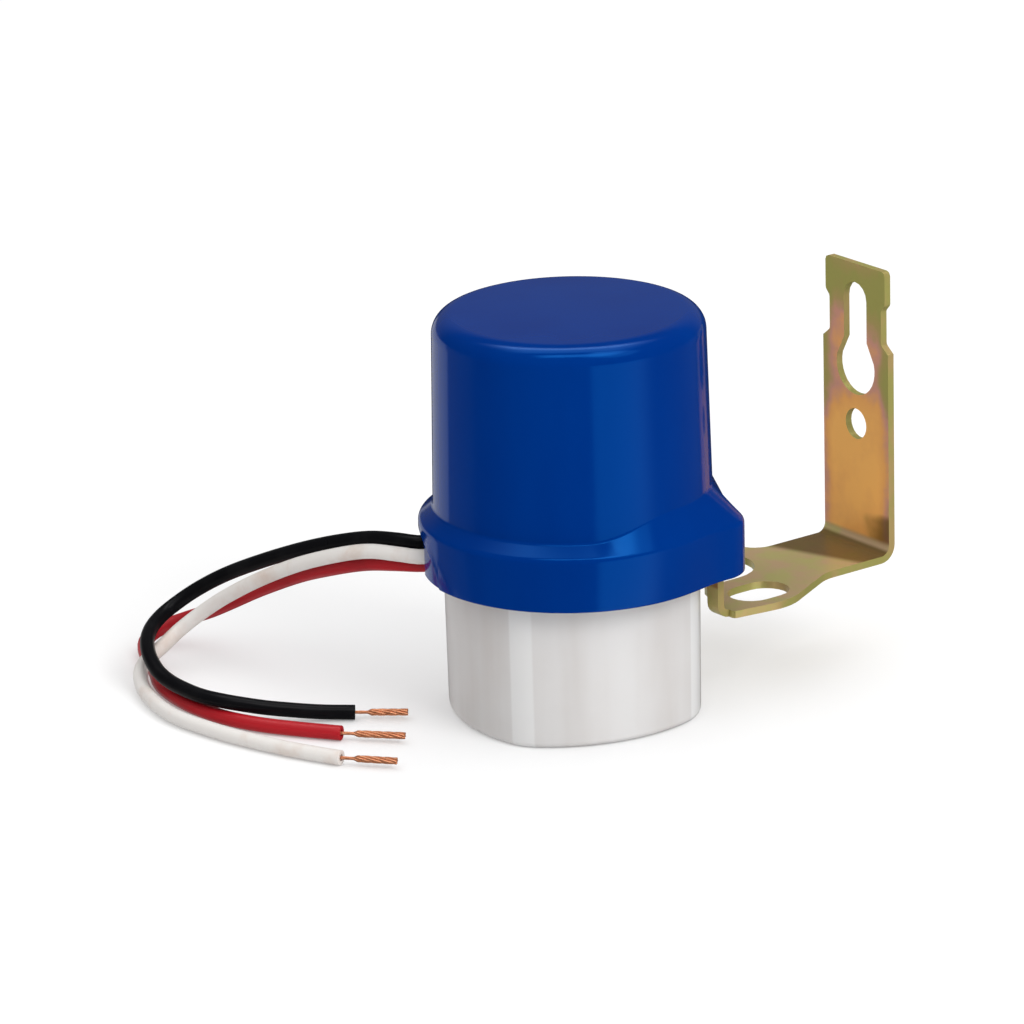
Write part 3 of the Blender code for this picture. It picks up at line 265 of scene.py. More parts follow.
@dataclass(frozen=True)
class MilkyPlastic(Finish):
    """Translucent white moulding that light soaks into."""

    name: str = "milky_plastic"
    colour: Colour = (0.65, 0.64, 0.635)
    shade: Colour = (0.57, 0.545, 0.53)
    # Paler colour painted on the corners as light coming through them.
    thin: Colour = (0.73, 0.73, 0.728)
    roughness: float = 0.26
    streak_scale: Colour = (90.0, 90.0, 9.0)
    cloud_scale: float = 45.0
    grain_scale: float = 700.0
    grain_depth: float = 0.004 * MM
    soak: float = 0.35
    soak_depth: float = 2.5 * MM
    corner: float = math.radians(-150.0)
    corner_half: float = math.radians(5.2)
    shift: tuple[float, float] = (-0.5 * MM, 0.34 * MM)

    def recipe(self, shader: Shader) -> None:
        """Cloud the white with flow streaks, with paler corners painted in as light coming
        through.
        """
        place = shader.place()
        x, y, _ = shader.axes(place)
        angle = (y - self.shift[1]).math("ARCTAN2", y - self.shift[1], x - self.shift[0])
        quarter = math.pi / 2.0
        turned = angle - self.corner + quarter * 4.5
        away = abs(turned.math("MODULO", turned, quarter) - quarter / 2.0)
        corner = away.step(self.corner_half * 1.12, self.corner_half * 0.88)
        streaks = shader.noise(shader.stretched(place, self.streak_scale), 1.0, 3.0, 0.55)
        clouds = shader.noise(place, self.cloud_scale, 3.0)
        milk = shader.mix((streaks * 0.65 + clouds * 0.35).step(0.35, 0.72),
                          self.colour, self.shade)
        # Painted light: the four corner bands are paled towards the thin colour.
        colour = shader.mix(corner * 0.75, milk, self.thin)
        grain = shader.noise(place, self.grain_scale, 3.0)
        shader.surface({
            "Base Color": colour,
            "Roughness": clouds * 0.06 + self.roughness,
            "IOR": 1.47,
            "Subsurface Weight": self.soak,
            "Subsurface Radius": (1.0, 0.95, 0.9),
            "Subsurface Scale": self.soak_depth,
            "Normal": shader.bump(grain, self.grain_depth),
        })


@dataclass(frozen=True)
class YellowZinc(Finish):
    """Zinc-plated steel with a yellow passivation that shimmers in green, pink and gold."""

    name: str = "yellow_zinc"
    green: Colour = (0.37, 0.345, 0.09)
    olive: Colour = (0.43, 0.33, 0.11)
    pink: Colour = (0.64, 0.31, 0.22)
    orange: Colour = (0.88, 0.42, 0.12)
    gold: Colour = (0.98, 0.50, 0.13)
    plate: Colour = (0.52, 0.36, 0.20)
    plate_green: Colour = (0.46, 0.42, 0.15)
    shadow: Colour = (0.10, 0.055, 0.004)
    roughness: float = 0.25
    metallic: float = 0.35
    grain_scale: float = 900.0
    grain_depth: float = 0.006 * MM
    leg_middle: float = -7.8 * MM
    leg_half: float = 10.1 * MM
    top_fade: tuple[float, float] = (63.2 * MM, 78.2 * MM)
    keyhole_z: float = 65.0 * MM
    keyhole_reach: float = 8.0 * MM
    plate_top: float = 22.6 * MM
    # Where the painted shade on the plate's upper face runs in towards the fold.
    fold_shade_fade: tuple[float, float] = (53.5 * MM, 56.5 * MM)
    # Where the painted dark reflection sits, low on the leg's inner face.
    dark_reflection_z: float = 25.0 * MM
    dark_reflection_fade: tuple[float, float] = (8.0 * MM, 14.0 * MM)
    rim: Colour = (0.38, 0.35, 0.10)
    rim_warm: Colour = (0.46, 0.33, 0.13)
    fold_z: float = 26.0 * MM
    fold_x: float = 62.0 * MM

    def recipe(self, shader: Shader) -> None:
        """Run the film's colours in from the sheet's edges and round its holes, with painted
        shade by the fold and a painted dark reflection low on the leg.
        """
        place = shader.place()
        x, y, z = shader.axes(place)
        clouds = shader.noise(place, 85.0, 3.0, 0.55)
        patches = shader.noise(shader.stretched(place, (1.0, 1.0, 0.7)), 190.0, 2.0, 0.5)
        fine = shader.noise(place, 700.0, 3.0, 0.6)
        edge = abs(y - self.leg_middle).step(self.leg_half * 0.62, self.leg_half * 1.02)
        top = z.step(*self.top_fade)
        holes = z.band(self.keyhole_z, self.keyhole_reach, 11.0 * MM)
        film = (0.95 - edge * 0.5 - top * 0.6 - holes * 0.5 + (clouds - 0.5) * 0.75
                + (patches - 0.5) * 0.5 + (fine - 0.5) * 0.15)
        leg = shader.ramp(film, [
            (0.0, self.green), (0.22, self.olive), (0.45, self.pink), (0.72, self.orange),
            (1.0, self.gold)])
        flat = shader.mix((clouds * 0.6 + patches * 0.4).step(0.42, 0.62), self.plate,
                          self.plate_green)
        normal = shader.axes(shader.node("ShaderNodeNewGeometry").outputs["Normal"])
        # Painted shade: the plate's upper face is darkened towards the fold, in the shadow
        # colour.
        painted_fold_shade = (x + (y - self.leg_middle) * 0.35).step(*self.fold_shade_fade)
        sheet = shader.mix(painted_fold_shade * normal[2].step(0.4, 0.8) * 0.85, flat, self.shadow)
        # Painted dark reflection: a dark patch low on the leg's inner face, in the shadow
        # colour.
        painted_dark_reflection = z.band(self.dark_reflection_z, 2.0 * MM, 5.0 * MM) * ((clouds - 0.5) * 12.0 * MM - y)
        painted_dark_reflection = painted_dark_reflection.step(*self.dark_reflection_fade) * normal[0].step(-0.4, -0.8)
        upright = shader.mix(painted_dark_reflection * 0.75, leg, self.shadow)
        colour = shader.mix(z.step(self.plate_top, self.plate_top + 1.2 * MM), sheet, upright)
        rim = shader.mix(patches.step(0.4, 0.65), self.rim, self.rim_warm)
        colour = shader.mix(self.stamped_edge(normal, x, z), colour, rim)
        grain = shader.noise(place, self.grain_scale, 4.0, 0.6)
        shader.surface({
            "Base Color": colour,
            "Metallic": self.metallic,
            "Roughness": grain * 0.10 + self.roughness,
            "Normal": shader.bump(grain, self.grain_depth),
        })

    def stamped_edge(self, normal: tuple[Wire, Wire, Wire], x: Wire, z: Wire) -> Wire:
        """Return 1 on the sheet's stamped edges and hole walls, by the way they face."""
        side_x, side_y, side_z = (abs(part) for part in normal)
        leg = z.step(self.fold_z - 0.5 * MM, self.fold_z + 0.5 * MM)
        plate = x.step(self.fold_x + 0.5 * MM, self.fold_x - 0.5 * MM) * (1.0 - leg)
        across = leg * side_x.step(0.6, 0.3) + plate * side_z.step(0.6, 0.3)
        return (across + side_y.step(0.5, 0.8)).step(0.0, 1.0)


@dataclass(frozen=True)
class Insulation(Finish):
    """Soft plastic drawn over a lead, with faint smears and drawing lines."""

    name: str
    colour: Colour
    smear: Colour
    roughness: float = 0.36
    specular: float = 0.3
    smear_scale: float = 110.0
    speck_scale: float = 1600.0
    depth: float = 0.01 * MM

    def recipe(self, shader: Shader) -> None:
        """Smear the colour a little and draw fine lines."""
        place = shader.place()
        smears = shader.noise(place, self.smear_scale, 4.0, 0.6)
        specks = shader.noise(place, self.speck_scale)
        colour = shader.mix(smears.step(0.45, 0.75) * 0.7, self.colour, self.smear)
        shader.surface({
            "Base Color": colour,
            "Roughness": smears * 0.12 + self.roughness,
            "Specular IOR Level": self.specular,
            "Normal": shader.bump(specks * 0.4 + smears * 0.6, self.depth),
        })


@dataclass(frozen=True)
class BareCopper(Finish):
    """Bright copper strands with a touch of tarnish."""

    name: str = "bare_copper"
    colour: Colour = (0.78, 0.33, 0.17)
    tarnish: Colour = (0.48, 0.16, 0.07)
    metallic: float = 0.6
    roughness: float = 0.22
    patch_scale: float = 900.0

    def recipe(self, shader: Shader) -> None:
        """Darken the copper in patches."""
        patches = shader.noise(shader.place(), self.patch_scale, 3.0, 0.6)
        shader.surface({
            "Base Color": shader.mix(patches.step(0.45, 0.8), self.colour, self.tarnish),
            "Metallic": self.metallic,
            "Roughness": patches * 0.15 + self.roughness,
        })


@dataclass(frozen=True)
class Plain(Finish):
    """Small inner part: one colour with a second in specks or streaks."""

    name: str
    colour: Colour
    second: Colour
    roughness: float = 0.45
    metallic: float = 0.0
    scale: float = 600.0
    depth: float = 0.01 * MM

    def recipe(self, shader: Shader) -> None:
        """Cloud the two colours and roughen the surface a little."""
        grain = shader.noise(shader.place(), self.scale, 3.0, 0.6)
        shader.surface({
            "Base Color": shader.mix(grain.step(0.35, 0.7), self.colour, self.second),
            "Metallic": self.metallic,
            "Roughness": grain * 0.12 + self.roughness,
            "Normal": shader.bump(grain, self.depth),
        })


BLUE = MouldedGloss()
MILKY = MilkyPlastic()
ZINC = YellowZinc()
COPPER = BareCopper()
BLACK_PVC = Insulation("black_insulation", (0.005, 0.005, 0.006), (0.010, 0.010, 0.011), 0.24,
                       0.07)
WHITE_PVC = Insulation("white_insulation", (0.74, 0.71, 0.68), (0.62, 0.50, 0.43), 0.36)
RED_PVC = Insulation("red_insulation", (0.42, 0.008, 0.015), (0.33, 0.006, 0.012), 0.32)

INNER_FINISHES = {
    "seal_rubber": Plain("seal_rubber", (0.025, 0.025, 0.025), (0.05, 0.05, 0.05), 0.65),
    "board_laminate": Plain("board_laminate", (0.03, 0.20, 0.08), (0.05, 0.28, 0.11), 0.35),
    "screw_steel": Plain("screw_steel", (0.62, 0.62, 0.64), (0.5, 0.5, 0.52), 0.3, 1.0),
    "relay_case": Plain("relay_case", (0.02, 0.11, 0.40), (0.025, 0.13, 0.45), 0.4),
    "capacitor_case": Plain("capacitor_case", (0.50, 0.10, 0.04), (0.58, 0.14, 0.06), 0.3),
    "capacitor_sleeve": Plain("capacitor_sleeve", (0.02, 0.02, 0.05), (0.03, 0.03, 0.07), 0.3),
    "varistor_coat": Plain("varistor_coat", (0.04, 0.18, 0.48), (0.05, 0.22, 0.55), 0.4),
    "black_epoxy": Plain("black_epoxy", (0.018, 0.018, 0.018), (0.04, 0.04, 0.04), 0.5),
    "diode_glass": Plain("diode_glass", (0.60, 0.18, 0.06), (0.70, 0.26, 0.10), 0.15),
    "resistor_coat": Plain("resistor_coat", (0.62, 0.50, 0.32), (0.56, 0.44, 0.27), 0.4),
    "sensor_ceramic": Plain("sensor_ceramic", (0.70, 0.45, 0.20), (0.8, 0.6, 0.4), 0.25),
    "black_insulation": BLACK_PVC,
    "white_insulation": WHITE_PVC,
    "red_insulation": RED_PVC,
}


def blend_up(first: float, second: float, reach: float) -> float:
    """Return the larger value, rounded off where the two come within the reach."""
    near = max(reach - abs(first - second), 0.0) / reach
    return max(first, second) + near * near * reach / 4.0


def ease(share: float) -> float:
    """Ease a share from 0 to 1."""
    share = min(max(share, 0.0), 1.0)
    return share * share * (3.0 - 2.0 * share)


def filleted(corners: list[tuple[float, float, float, int]]) -> list[Vector]:
    """Round the corners of a profile.

    Args:
        corners: Each corner as (radius from the axis, height, fillet radius, steps).

    Returns:
        The profile's points; a corner with a fillet gives steps + 1 of them.
    """
    points = []
    for index, (u, v, fillet, steps) in enumerate(corners):
        corner = Vector((u, v))
        if fillet <= 0.0:
            points.append(corner)
            continue
        before = (Vector(corners[index - 1][:2]) - corner).normalized()
        after = (Vector(corners[(index + 1) % len(corners)][:2]) - corner).normalized()
        half = before.angle(after) / 2.0
        start = corner + before * fillet / math.tan(half)
        middle = corner + (before + after).normalized() * fillet / math.sin(half)
        end = corner + after * fillet / math.tan(half)
        turn = (start - middle).angle_signed(end - middle)
        for step in range(steps + 1):
            points.append(middle + Matrix.Rotation(-turn * step / steps, 2) @ (start - middle))
    return points


def linked(name: str, data: bpy.types.ID) -> bpy.types.Object:
    """Make an object and link it to the scene."""
    made = bpy.data.objects.new(name, data)
    bpy.context.scene.collection.objects.link(made)
    return made


def evaluated(piece: bpy.types.Object) -> bpy.types.Mesh:
    """Return a mesh of a piece as its modifiers or its curve make it."""
    bpy.context.view_layer.update()
    graph = bpy.context.evaluated_depsgraph_get()
    return bpy.data.meshes.new_from_object(piece.evaluated_get(graph))


def shade(mesh: bpy.types.Mesh, sharp: float = SHARP) -> None:
    """Shade a mesh smooth, with its edges sharp past an angle."""
    mesh.shade_smooth()
    mesh.set_sharp_from_angle(angle=sharp)


def add_piece(name: str, bm: bmesh.types.BMesh, finish: Finish,
              replaced: str, sharp: float = SHARP) -> bpy.types.Object:
    """Turn a bmesh into a dressed piece that rides on the body.

    Args:
        name: The piece's name.
        bm: The mesh, which is freed.
        finish: The piece's finish.
        replaced: The CAD node that the piece stands for.
        sharp: The angle past which an edge stays sharp.

    Returns:
        The new object.
    """
    mesh = bpy.data.meshes.new(name)
    bm.to_mesh(mesh)
    bm.free()
    shade(mesh, sharp)
    mesh.materials.append(finish.material())
    piece = linked(name, mesh)
    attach(piece, BODY)
    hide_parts(replaced)
    LOG.info("%s: %d faces, stands for %s", name, len(mesh.polygons), replaced)
    return piece


def cut(piece: bpy.types.Object, tool: bmesh.types.BMesh, operation: str = "DIFFERENCE") -> None:
    """Apply one exact boolean to a piece and remove its tool."""
    mesh = bpy.data.meshes.new("tool")
    tool.to_mesh(mesh)
    tool.free()
    helper = linked("tool", mesh)
    modifier = piece.modifiers.new("cut", "BOOLEAN")
    modifier.operation = operation
    modifier.solver = "EXACT"
    modifier.object = helper
    result = evaluated(piece)
    piece.modifiers.clear()
    piece.data = result
    bpy.data.objects.remove(helper, do_unlink=True)


def extruded(outline: list[Vector], low: float, high: float,
             to_point: Callable[[float, float, float], Vector]) -> bmesh.types.BMesh:
    """Extrude a closed outline between two depths.

    Args:
        outline: The outline's points in its own plane.
        low: The depth of the first face.
        high: The depth of the last face.
        to_point: Turns a point of the outline and a depth into a place.

    Returns:
        A closed bmesh with outward faces.
    """
    bm = bmesh.new()
    face = bm.faces.new([bm.verts.new(to_point(p[0], p[1], low)) for p in outline])
    swept = bmesh.ops.extrude_face_region(bm, geom=[face])
    moved = [item for item in swept["geom"] if isinstance(item, bmesh.types.BMVert)]
    offset = to_point(0.0, 0.0, high) - to_point(0.0, 0.0, low)
    bmesh.ops.translate(bm, vec=offset, verts=moved)
    bmesh.ops.recalc_face_normals(bm, faces=bm.faces[:])
    return bm


def spun_rows(rows: int, steps: int) -> tuple[bmesh.types.BMesh, bmesh.types.BMLayerItem]:
    """Spin a column of vertices into a full round, each marked with its row's number."""
    bm = bmesh.new()
    layer = bm.verts.layers.int.new("row")
    verts = [bm.verts.new((1.0, 0.0, 1.0 - row / rows)) for row in range(rows)]
    for row, vert in enumerate(verts):
        vert[layer] = row
    edges = [bm.edges.new(pair) for pair in zip(verts, verts[1:])]
    bmesh.ops.spin(bm, geom=verts + edges, cent=(0.0, 0.0, 0.0), axis=(0.0, 0.0, 1.0),
                   angle=math.tau, steps=steps, use_merge=True)
    return bm, layer


def shaped_round(column: Callable[[float], list[Vector]], steps: int) -> bmesh.types.BMesh:
    """Shape a spun mesh so that it follows a profile that changes round the axis.

    Args:
        column: Gives the points of the profile at an angle, always as many.
        steps: How many columns stand round the axis.

    Returns:
        The shaped bmesh, with its poles merged and its faces outwards.
    """
    bm, layer = spun_rows(len(column(0.0)), steps)
    columns: dict[int, list[Vector]] = {}
    for vert in bm.verts:
        angle = math.atan2(vert.co.y, vert.co.x)
        key = round(angle / math.tau * steps) % steps
        if key not in columns:
            columns[key] = column(key * math.tau / steps)
        vert.co = columns[key][vert[layer]]
    bmesh.ops.remove_doubles(bm, verts=bm.verts[:], dist=0.002 * MM)
    rims = [edge for edge in bm.edges if edge.is_boundary]
    if rims:
        bmesh.ops.holes_fill(bm, edges=rims, sides=0)
    bmesh.ops.recalc_face_normals(bm, faces=bm.faces[:])
    return bm


@dataclass(frozen=True)
class CordExit:
    """The place in the skirt that the leads come out of."""

    angle: float = math.radians(146.0)
    pocket_half: float = 13.8 * MM
    pocket_top: float = 38.8 * MM
    pocket_depth: float = 0.7 * MM
    slot_width: float = 7.4 * MM
    slot_top: float = 38.0 * MM

    def place(self, side: float, height: float, reach: float) -> Vector:
        """Return a point to the side of the exit, at a height and a reach from the axis."""
        outward = Vector((math.cos(self.angle), math.sin(self.angle), 0.0))
        across = Vector((-math.sin(self.angle), math.cos(self.angle), 0.0))
        return outward * reach + across * side + Vector((0.0, 0.0, height))

    def arch(self, half: float, foot: float, top: float, steps: int) -> list[Vector]:
        """Return an arch over a straight foot, in side and height."""
        below = foot - 1.5 * CUT_PAST
        points = [Vector((half, below))]
        for step in range(steps + 1):
            turn = math.pi * step / steps
            points.append(Vector((half * math.cos(turn), foot + (top - foot) * math.sin(turn))))
        return points + [Vector((-half, below))]


@dataclass
class Hood:
    """The blue moulded hood with its skirt, two lugs, ramp and cord pocket."""

    exit: CordExit
    steps: int = 360
    wall: float = 2.0 * MM
    bottom_z: float = 29.9 * MM
    skirt_radius: float = 30.6 * MM
    skirt_edge_z: float = 40.6 * MM
    skirt_edge_round: float = 1.6 * MM
    skirt_foot_round: float = 0.5 * MM
    inner_foot_round: float = 0.15 * MM
    deck_z: float = 43.0 * MM
    base_radius: float = 27.65 * MM
    top_radius: float = 26.8 * MM
    top_z: float = 82.0 * MM
    top_round: float = 4.2 * MM
    neck_round: float = 1.0 * MM
    lug_end: float = 24.0 * MM
    lug_half: float = 28.5 * MM
    lug_corner: float = 7.0 * MM
    lug_blend: float = 2.0 * MM
    ramp_z: float = 46.8 * MM
    ramp_foot: float = math.radians(121.0)
    ramp_head: float = math.radians(83.0)

    def plan(self, angle: float, inset: float = 0.0) -> float:
        """Return the skirt's radius at an angle: its circle joined with the lugs."""
        circle = self.skirt_radius - inset
        if math.cos(angle) <= 0.0:
            return circle
        end, half = self.lug_end - inset, self.lug_half - inset
        corner = self.lug_corner - inset
        c, s = math.cos(angle), abs(math.sin(angle))
        lug = min(end / c, half / s if s > 1e-6 else 1.0)
        if lug * c > end - corner and lug * s > half - corner:
            along = c * (end - corner) + s * (half - corner)
            away = (end - corner) ** 2 + (half - corner) ** 2 - along * along
            lug = along + math.sqrt(max(corner * corner - away, 0.0))
        return blend_up(circle, lug, self.lug_blend)

    def deck(self, angle: float) -> float:
        """Return how high the deck meets the hood, with the ramp over the lugs."""
        off_axis = abs(math.remainder(angle, math.tau))
        climb = (self.ramp_foot - off_axis) / (self.ramp_foot - self.ramp_head)
        return self.deck_z + (self.ramp_z - self.deck_z) * ease(climb)

    def radius(self, height: float, inset: float = 0.0) -> float:
        """Return the drafted hood's radius at a height."""
        share = (height - self.deck_z) / (self.top_z - self.deck_z)
        return self.base_radius + (self.top_radius - self.base_radius) * share - inset

    def column(self, angle: float) -> list[Vector]:
        """Return the closed profile at an angle, from the top's middle out, down and in."""
        skirt, inner = self.plan(angle), self.plan(angle, self.wall)
        deck, wall = self.deck(angle), self.wall
        profile = filleted([
            (0.0, self.top_z, 0.0, 0),
            (self.radius(self.top_z), self.top_z, self.top_round, 16),
            (self.radius(deck), deck, self.neck_round, 5),
            (skirt, self.skirt_edge_z, self.skirt_edge_round, 8),
            (skirt, self.bottom_z, self.skirt_foot_round, 4),
            (inner, self.bottom_z, self.inner_foot_round, 2),
            (inner, self.skirt_edge_z - wall, 0.0, 0),
            (self.radius(deck, wall), deck - wall, 0.0, 0),
            (self.radius(self.top_z, wall), self.top_z - wall, self.top_round - wall, 5),
            (0.0, self.top_z - wall, 0.0, 0),
        ])
        return [Vector((p[0] * math.cos(angle), p[0] * math.sin(angle), p[1])) for p in profile]

    def build(self) -> None:
        """Make the hood and cut the cord pocket and its slot."""
        hood = add_piece("hood_shell", shaped_round(self.column, self.steps), BLUE,
                         "hood_cap")
        cut(hood, self.pocket())
        cut(hood, self.slot())
        shade(hood.data)

    def pocket(self) -> bmesh.types.BMesh:
        """Return the tool for the arched pocket, hollowed so that its floor is round."""
        outline = self.exit.arch(self.exit.pocket_half, self.bottom_z, self.exit.pocket_top, 40)
        bm = extruded(outline, self.skirt_radius * 0.6, self.skirt_radius + CUT_PAST,
                      self.exit.place)
        helper = linked("pocket", bpy.data.meshes.new("pocket"))
        bm.to_mesh(helper.data)
        core = bmesh.new()
        floor = self.skirt_radius - self.exit.pocket_depth
        bmesh.ops.create_cone(core, cap_ends=True, segments=self.steps, radius1=floor,
                              radius2=floor, depth=2.0 * self.top_z)
        cut(helper, core)
        bm.clear()
        bm.from_mesh(helper.data)
        bpy.data.objects.remove(helper, do_unlink=True)
        return bm

    def slot(self) -> bmesh.types.BMesh:
        """Return the tool for the round-topped slot that the leads pass through."""
        half = self.exit.slot_width / 2.0
        outline = self.exit.arch(half, self.exit.slot_top - half, self.exit.slot_top, 24)
        outline[0].y = outline[-1].y = self.bottom_z - CUT_PAST
        reach = self.skirt_radius - self.exit.pocket_depth - self.wall
        return extruded(outline, reach - CUT_PAST / 2.0, self.skirt_radius + CUT_PAST,
                        self.exit.place)


@dataclass
class Cup:
    """The translucent cup: four bulged faces, soft corners, a flange and a spigot."""

    hood: Hood
    steps: int = 320
    gap: float = 0.3 * MM
    wall: float = 1.8 * MM
    face_distance: float = 24.7 * MM
    face_radius: float = 34.0 * MM
    corner_blend: float = 1.3 * MM
    first_face: float = math.radians(-105.0)
    draft: float = 0.3 * MM
    shift: float = 0.6 * MM
    foot_round: float = 1.5 * MM
    shoulder_z: float = 31.0 * MM
    flange: float = 2.0 * MM
    spigot_top: float = 46.6 * MM
    ring_z: float = 44.6 * MM
    ring_section: float = 0.9 * MM
    foot_steps: int = 8
    inner_foot_steps: int = 4
    post_reach: float = 18.6 * MM
    post_angle: float = math.radians(56.0)
    post_radius: float = 2.9 * MM
    post_top: float = 39.7 * MM
    post_bore: float = 1.6 * MM
    post_bore_foot: float = 30.0 * MM
    ear_slot: tuple[float, float, float] = (2.1 * MM, 4.0 * MM, 6.0 * MM)
    ear_place: tuple[float, float] = (19.05 * MM, 20.7 * MM)
    notch_half: float = 4.9 * MM
    notch_foot: float = 28.0 * MM
    notch_top: float = 38.7 * MM
    notch_corner: float = 1.0 * MM

    def reach(self, angle: float, inset: float) -> float:
        """Return the body's radius about its own middle."""
        nearest = None
        back = self.face_radius - self.face_distance
        for number in range(4):
            cosine = math.cos(angle - self.first_face - number * math.pi / 2.0)
            if cosine <= 0.1:
                continue
            radius = self.face_radius - inset
            face = -back * cosine + math.sqrt(radius ** 2 - back ** 2 * (1.0 - cosine ** 2))
            if nearest is None:
                nearest = face
            else:
                nearest = -blend_up(-nearest, -face, self.corner_blend)
        return nearest

    def body(self, angle: float, height: float, inset: float) -> Vector:
        """Return a point on the body's wall."""
        lean = self.draft * (1.0 - height / self.shoulder_z)
        radius = self.reach(angle, inset + lean)
        middle = self.hood.exit.place(0.0, height, self.shift)
        return middle + Vector((radius * math.cos(angle), radius * math.sin(angle), 0.0))

    def spigot_radius(self) -> float:
        """Return the spigot's outer radius, which fits inside the hood."""
        return self.hood.radius(self.spigot_top, self.hood.wall) - self.gap

    def column(self, angle: float) -> list[Vector]:
        """Return the profile at an angle, from the foot up, over the spigot and down."""
        flange = self.hood.plan(angle, self.hood.wall + self.gap)
        spigot = self.spigot_radius()
        slack = self.hood.radius(self.ring_z, self.hood.wall) - spigot - self.gap
        groove = spigot - self.ring_section - self.gap + slack
        half = self.ring_section / 2.0 + self.gap
        flange_top = self.shoulder_z + self.flange
        column = []
        for step in range(self.foot_steps + 1):
            turn = math.pi / 2.0 * step / self.foot_steps
            inset = self.foot_round * (1.0 - math.sin(turn))
            column.append(self.body(angle, self.foot_round * (1.0 - math.cos(turn)), inset))
        column.append(self.body(angle, self.shoulder_z, 0.0))
        rings = [(flange, self.shoulder_z), (flange, flange_top), (spigot, flange_top),
                 (spigot, self.ring_z - half), (groove, self.ring_z - half),
                 (groove, self.ring_z + half), (spigot, self.ring_z + half),
                 (spigot, self.spigot_top), (spigot - self.wall, self.spigot_top),
                 (spigot - self.wall, flange_top)]
        column += [Vector((r * math.cos(angle), r * math.sin(angle), z)) for r, z in rings]
        column.append(self.body(angle, self.shoulder_z, self.wall))
        for step in range(self.inner_foot_steps + 1):
            turn = math.pi / 2.0 * step / self.inner_foot_steps
            inset = self.wall + self.foot_round * (1.0 - math.cos(turn))
            height = self.wall + self.foot_round * (1.0 - math.sin(turn))
            column.append(self.body(angle, height, inset))
        return column

    def build(self) -> None:
        """Make the cup with its board posts, ear slots and seal notch."""
        cup = add_piece("cup_shell", shaped_round(self.column, self.steps), MILKY,
                        "translucent_cup")
        for angle in (self.post_angle, self.post_angle + math.pi):
            x, y = self.post_reach * math.cos(angle), self.post_reach * math.sin(angle)
            post = upright(self.post_radius, self.wall / 2.0, self.post_top, x, y, 40)
            cut(cup, post, "UNION")
            cut(cup, upright(self.post_bore, self.post_bore_foot, self.post_top + CUT_PAST,
                             x, y, 24))
        for side in (-1.0, 1.0):
            middle = (self.ear_place[0], side * self.ear_place[1],
                      self.shoulder_z + self.flange / 2.0)
            slot = bmesh.new()
            bmesh.ops.create_cube(slot, size=1.0)
            bmesh.ops.scale(slot, vec=self.ear_slot, verts=slot.verts[:])
            bmesh.ops.translate(slot, vec=middle, verts=slot.verts[:])
            cut(cup, slot)
        cut(cup, self.notch())
        shade(cup.data)

    def notch(self) -> bmesh.types.BMesh:
        """Return the tool for the notch that the cord seal sits in."""
        half, foot, top, corner = (self.notch_half, self.notch_foot, self.notch_top,
                                   self.notch_corner)
        outline = filleted([(side, height, corner, 4) for side, height in (
            (-half, foot), (half, foot), (half, top), (-half, top))])
        return extruded(outline, self.spigot_radius() - self.wall - CUT_PAST,
                        self.hood.skirt_radius + CUT_PAST, self.hood.exit.place)


def upright(radius: float, low: float, high: float, x: float, y: float,
            segments: int) -> bmesh.types.BMesh:
    """Return an upright cylinder between two heights."""
    bm = bmesh.new()
    bmesh.ops.create_cone(bm, cap_ends=True, segments=segments, radius1=radius,
                          radius2=radius, depth=high - low)
    bmesh.ops.translate(bm, vec=(x, y, (low + high) / 2.0), verts=bm.verts[:])
    return bm


@dataclass
class Bracket:
    """The folded steel bracket with its two ears, slots, bay and keyhole."""

    edge_round: float = 0.16 * MM
    merge: float = 0.001 * MM
    flat: float = math.radians(1.0)
    stamped: float = math.radians(50.0)
    sharp: float = math.radians(40.0)

    def build(self) -> None:
        """Merge a copy of the folded sheet and round its stamped edges."""
        bm = bmesh.new()
        bm.from_mesh(frame["nodes"]["bracket"].data)
        bmesh.ops.remove_doubles(bm, verts=bm.verts[:], dist=self.merge)
        bmesh.ops.dissolve_limit(bm, angle_limit=self.flat, verts=bm.verts[:],
                                 edges=bm.edges[:])
        edges = [edge for edge in bm.edges
                 if len(edge.link_faces) == 2 and edge.calc_face_angle() > self.stamped]
        bmesh.ops.bevel(bm, geom=edges, offset=self.edge_round, segments=3, profile=0.5,
                        affect="EDGES", material=-1, clamp_overlap=True)
        sheet = add_piece("bracket_sheet", bm, ZINC, "bracket", self.sharp)
        even = sheet.modifiers.new("even", "WEIGHTED_NORMAL")
        even.weight = 100
        even.keep_sharp = True


@dataclass(frozen=True)
class LeadRoute:
    """One lead's colour, its place in the exit and the points that its middle passes."""

    name: str
    finish: Finish
    side: float
    height: float
    points: tuple[tuple[float, float, float], ...]
    tip: tuple[float, float, float]


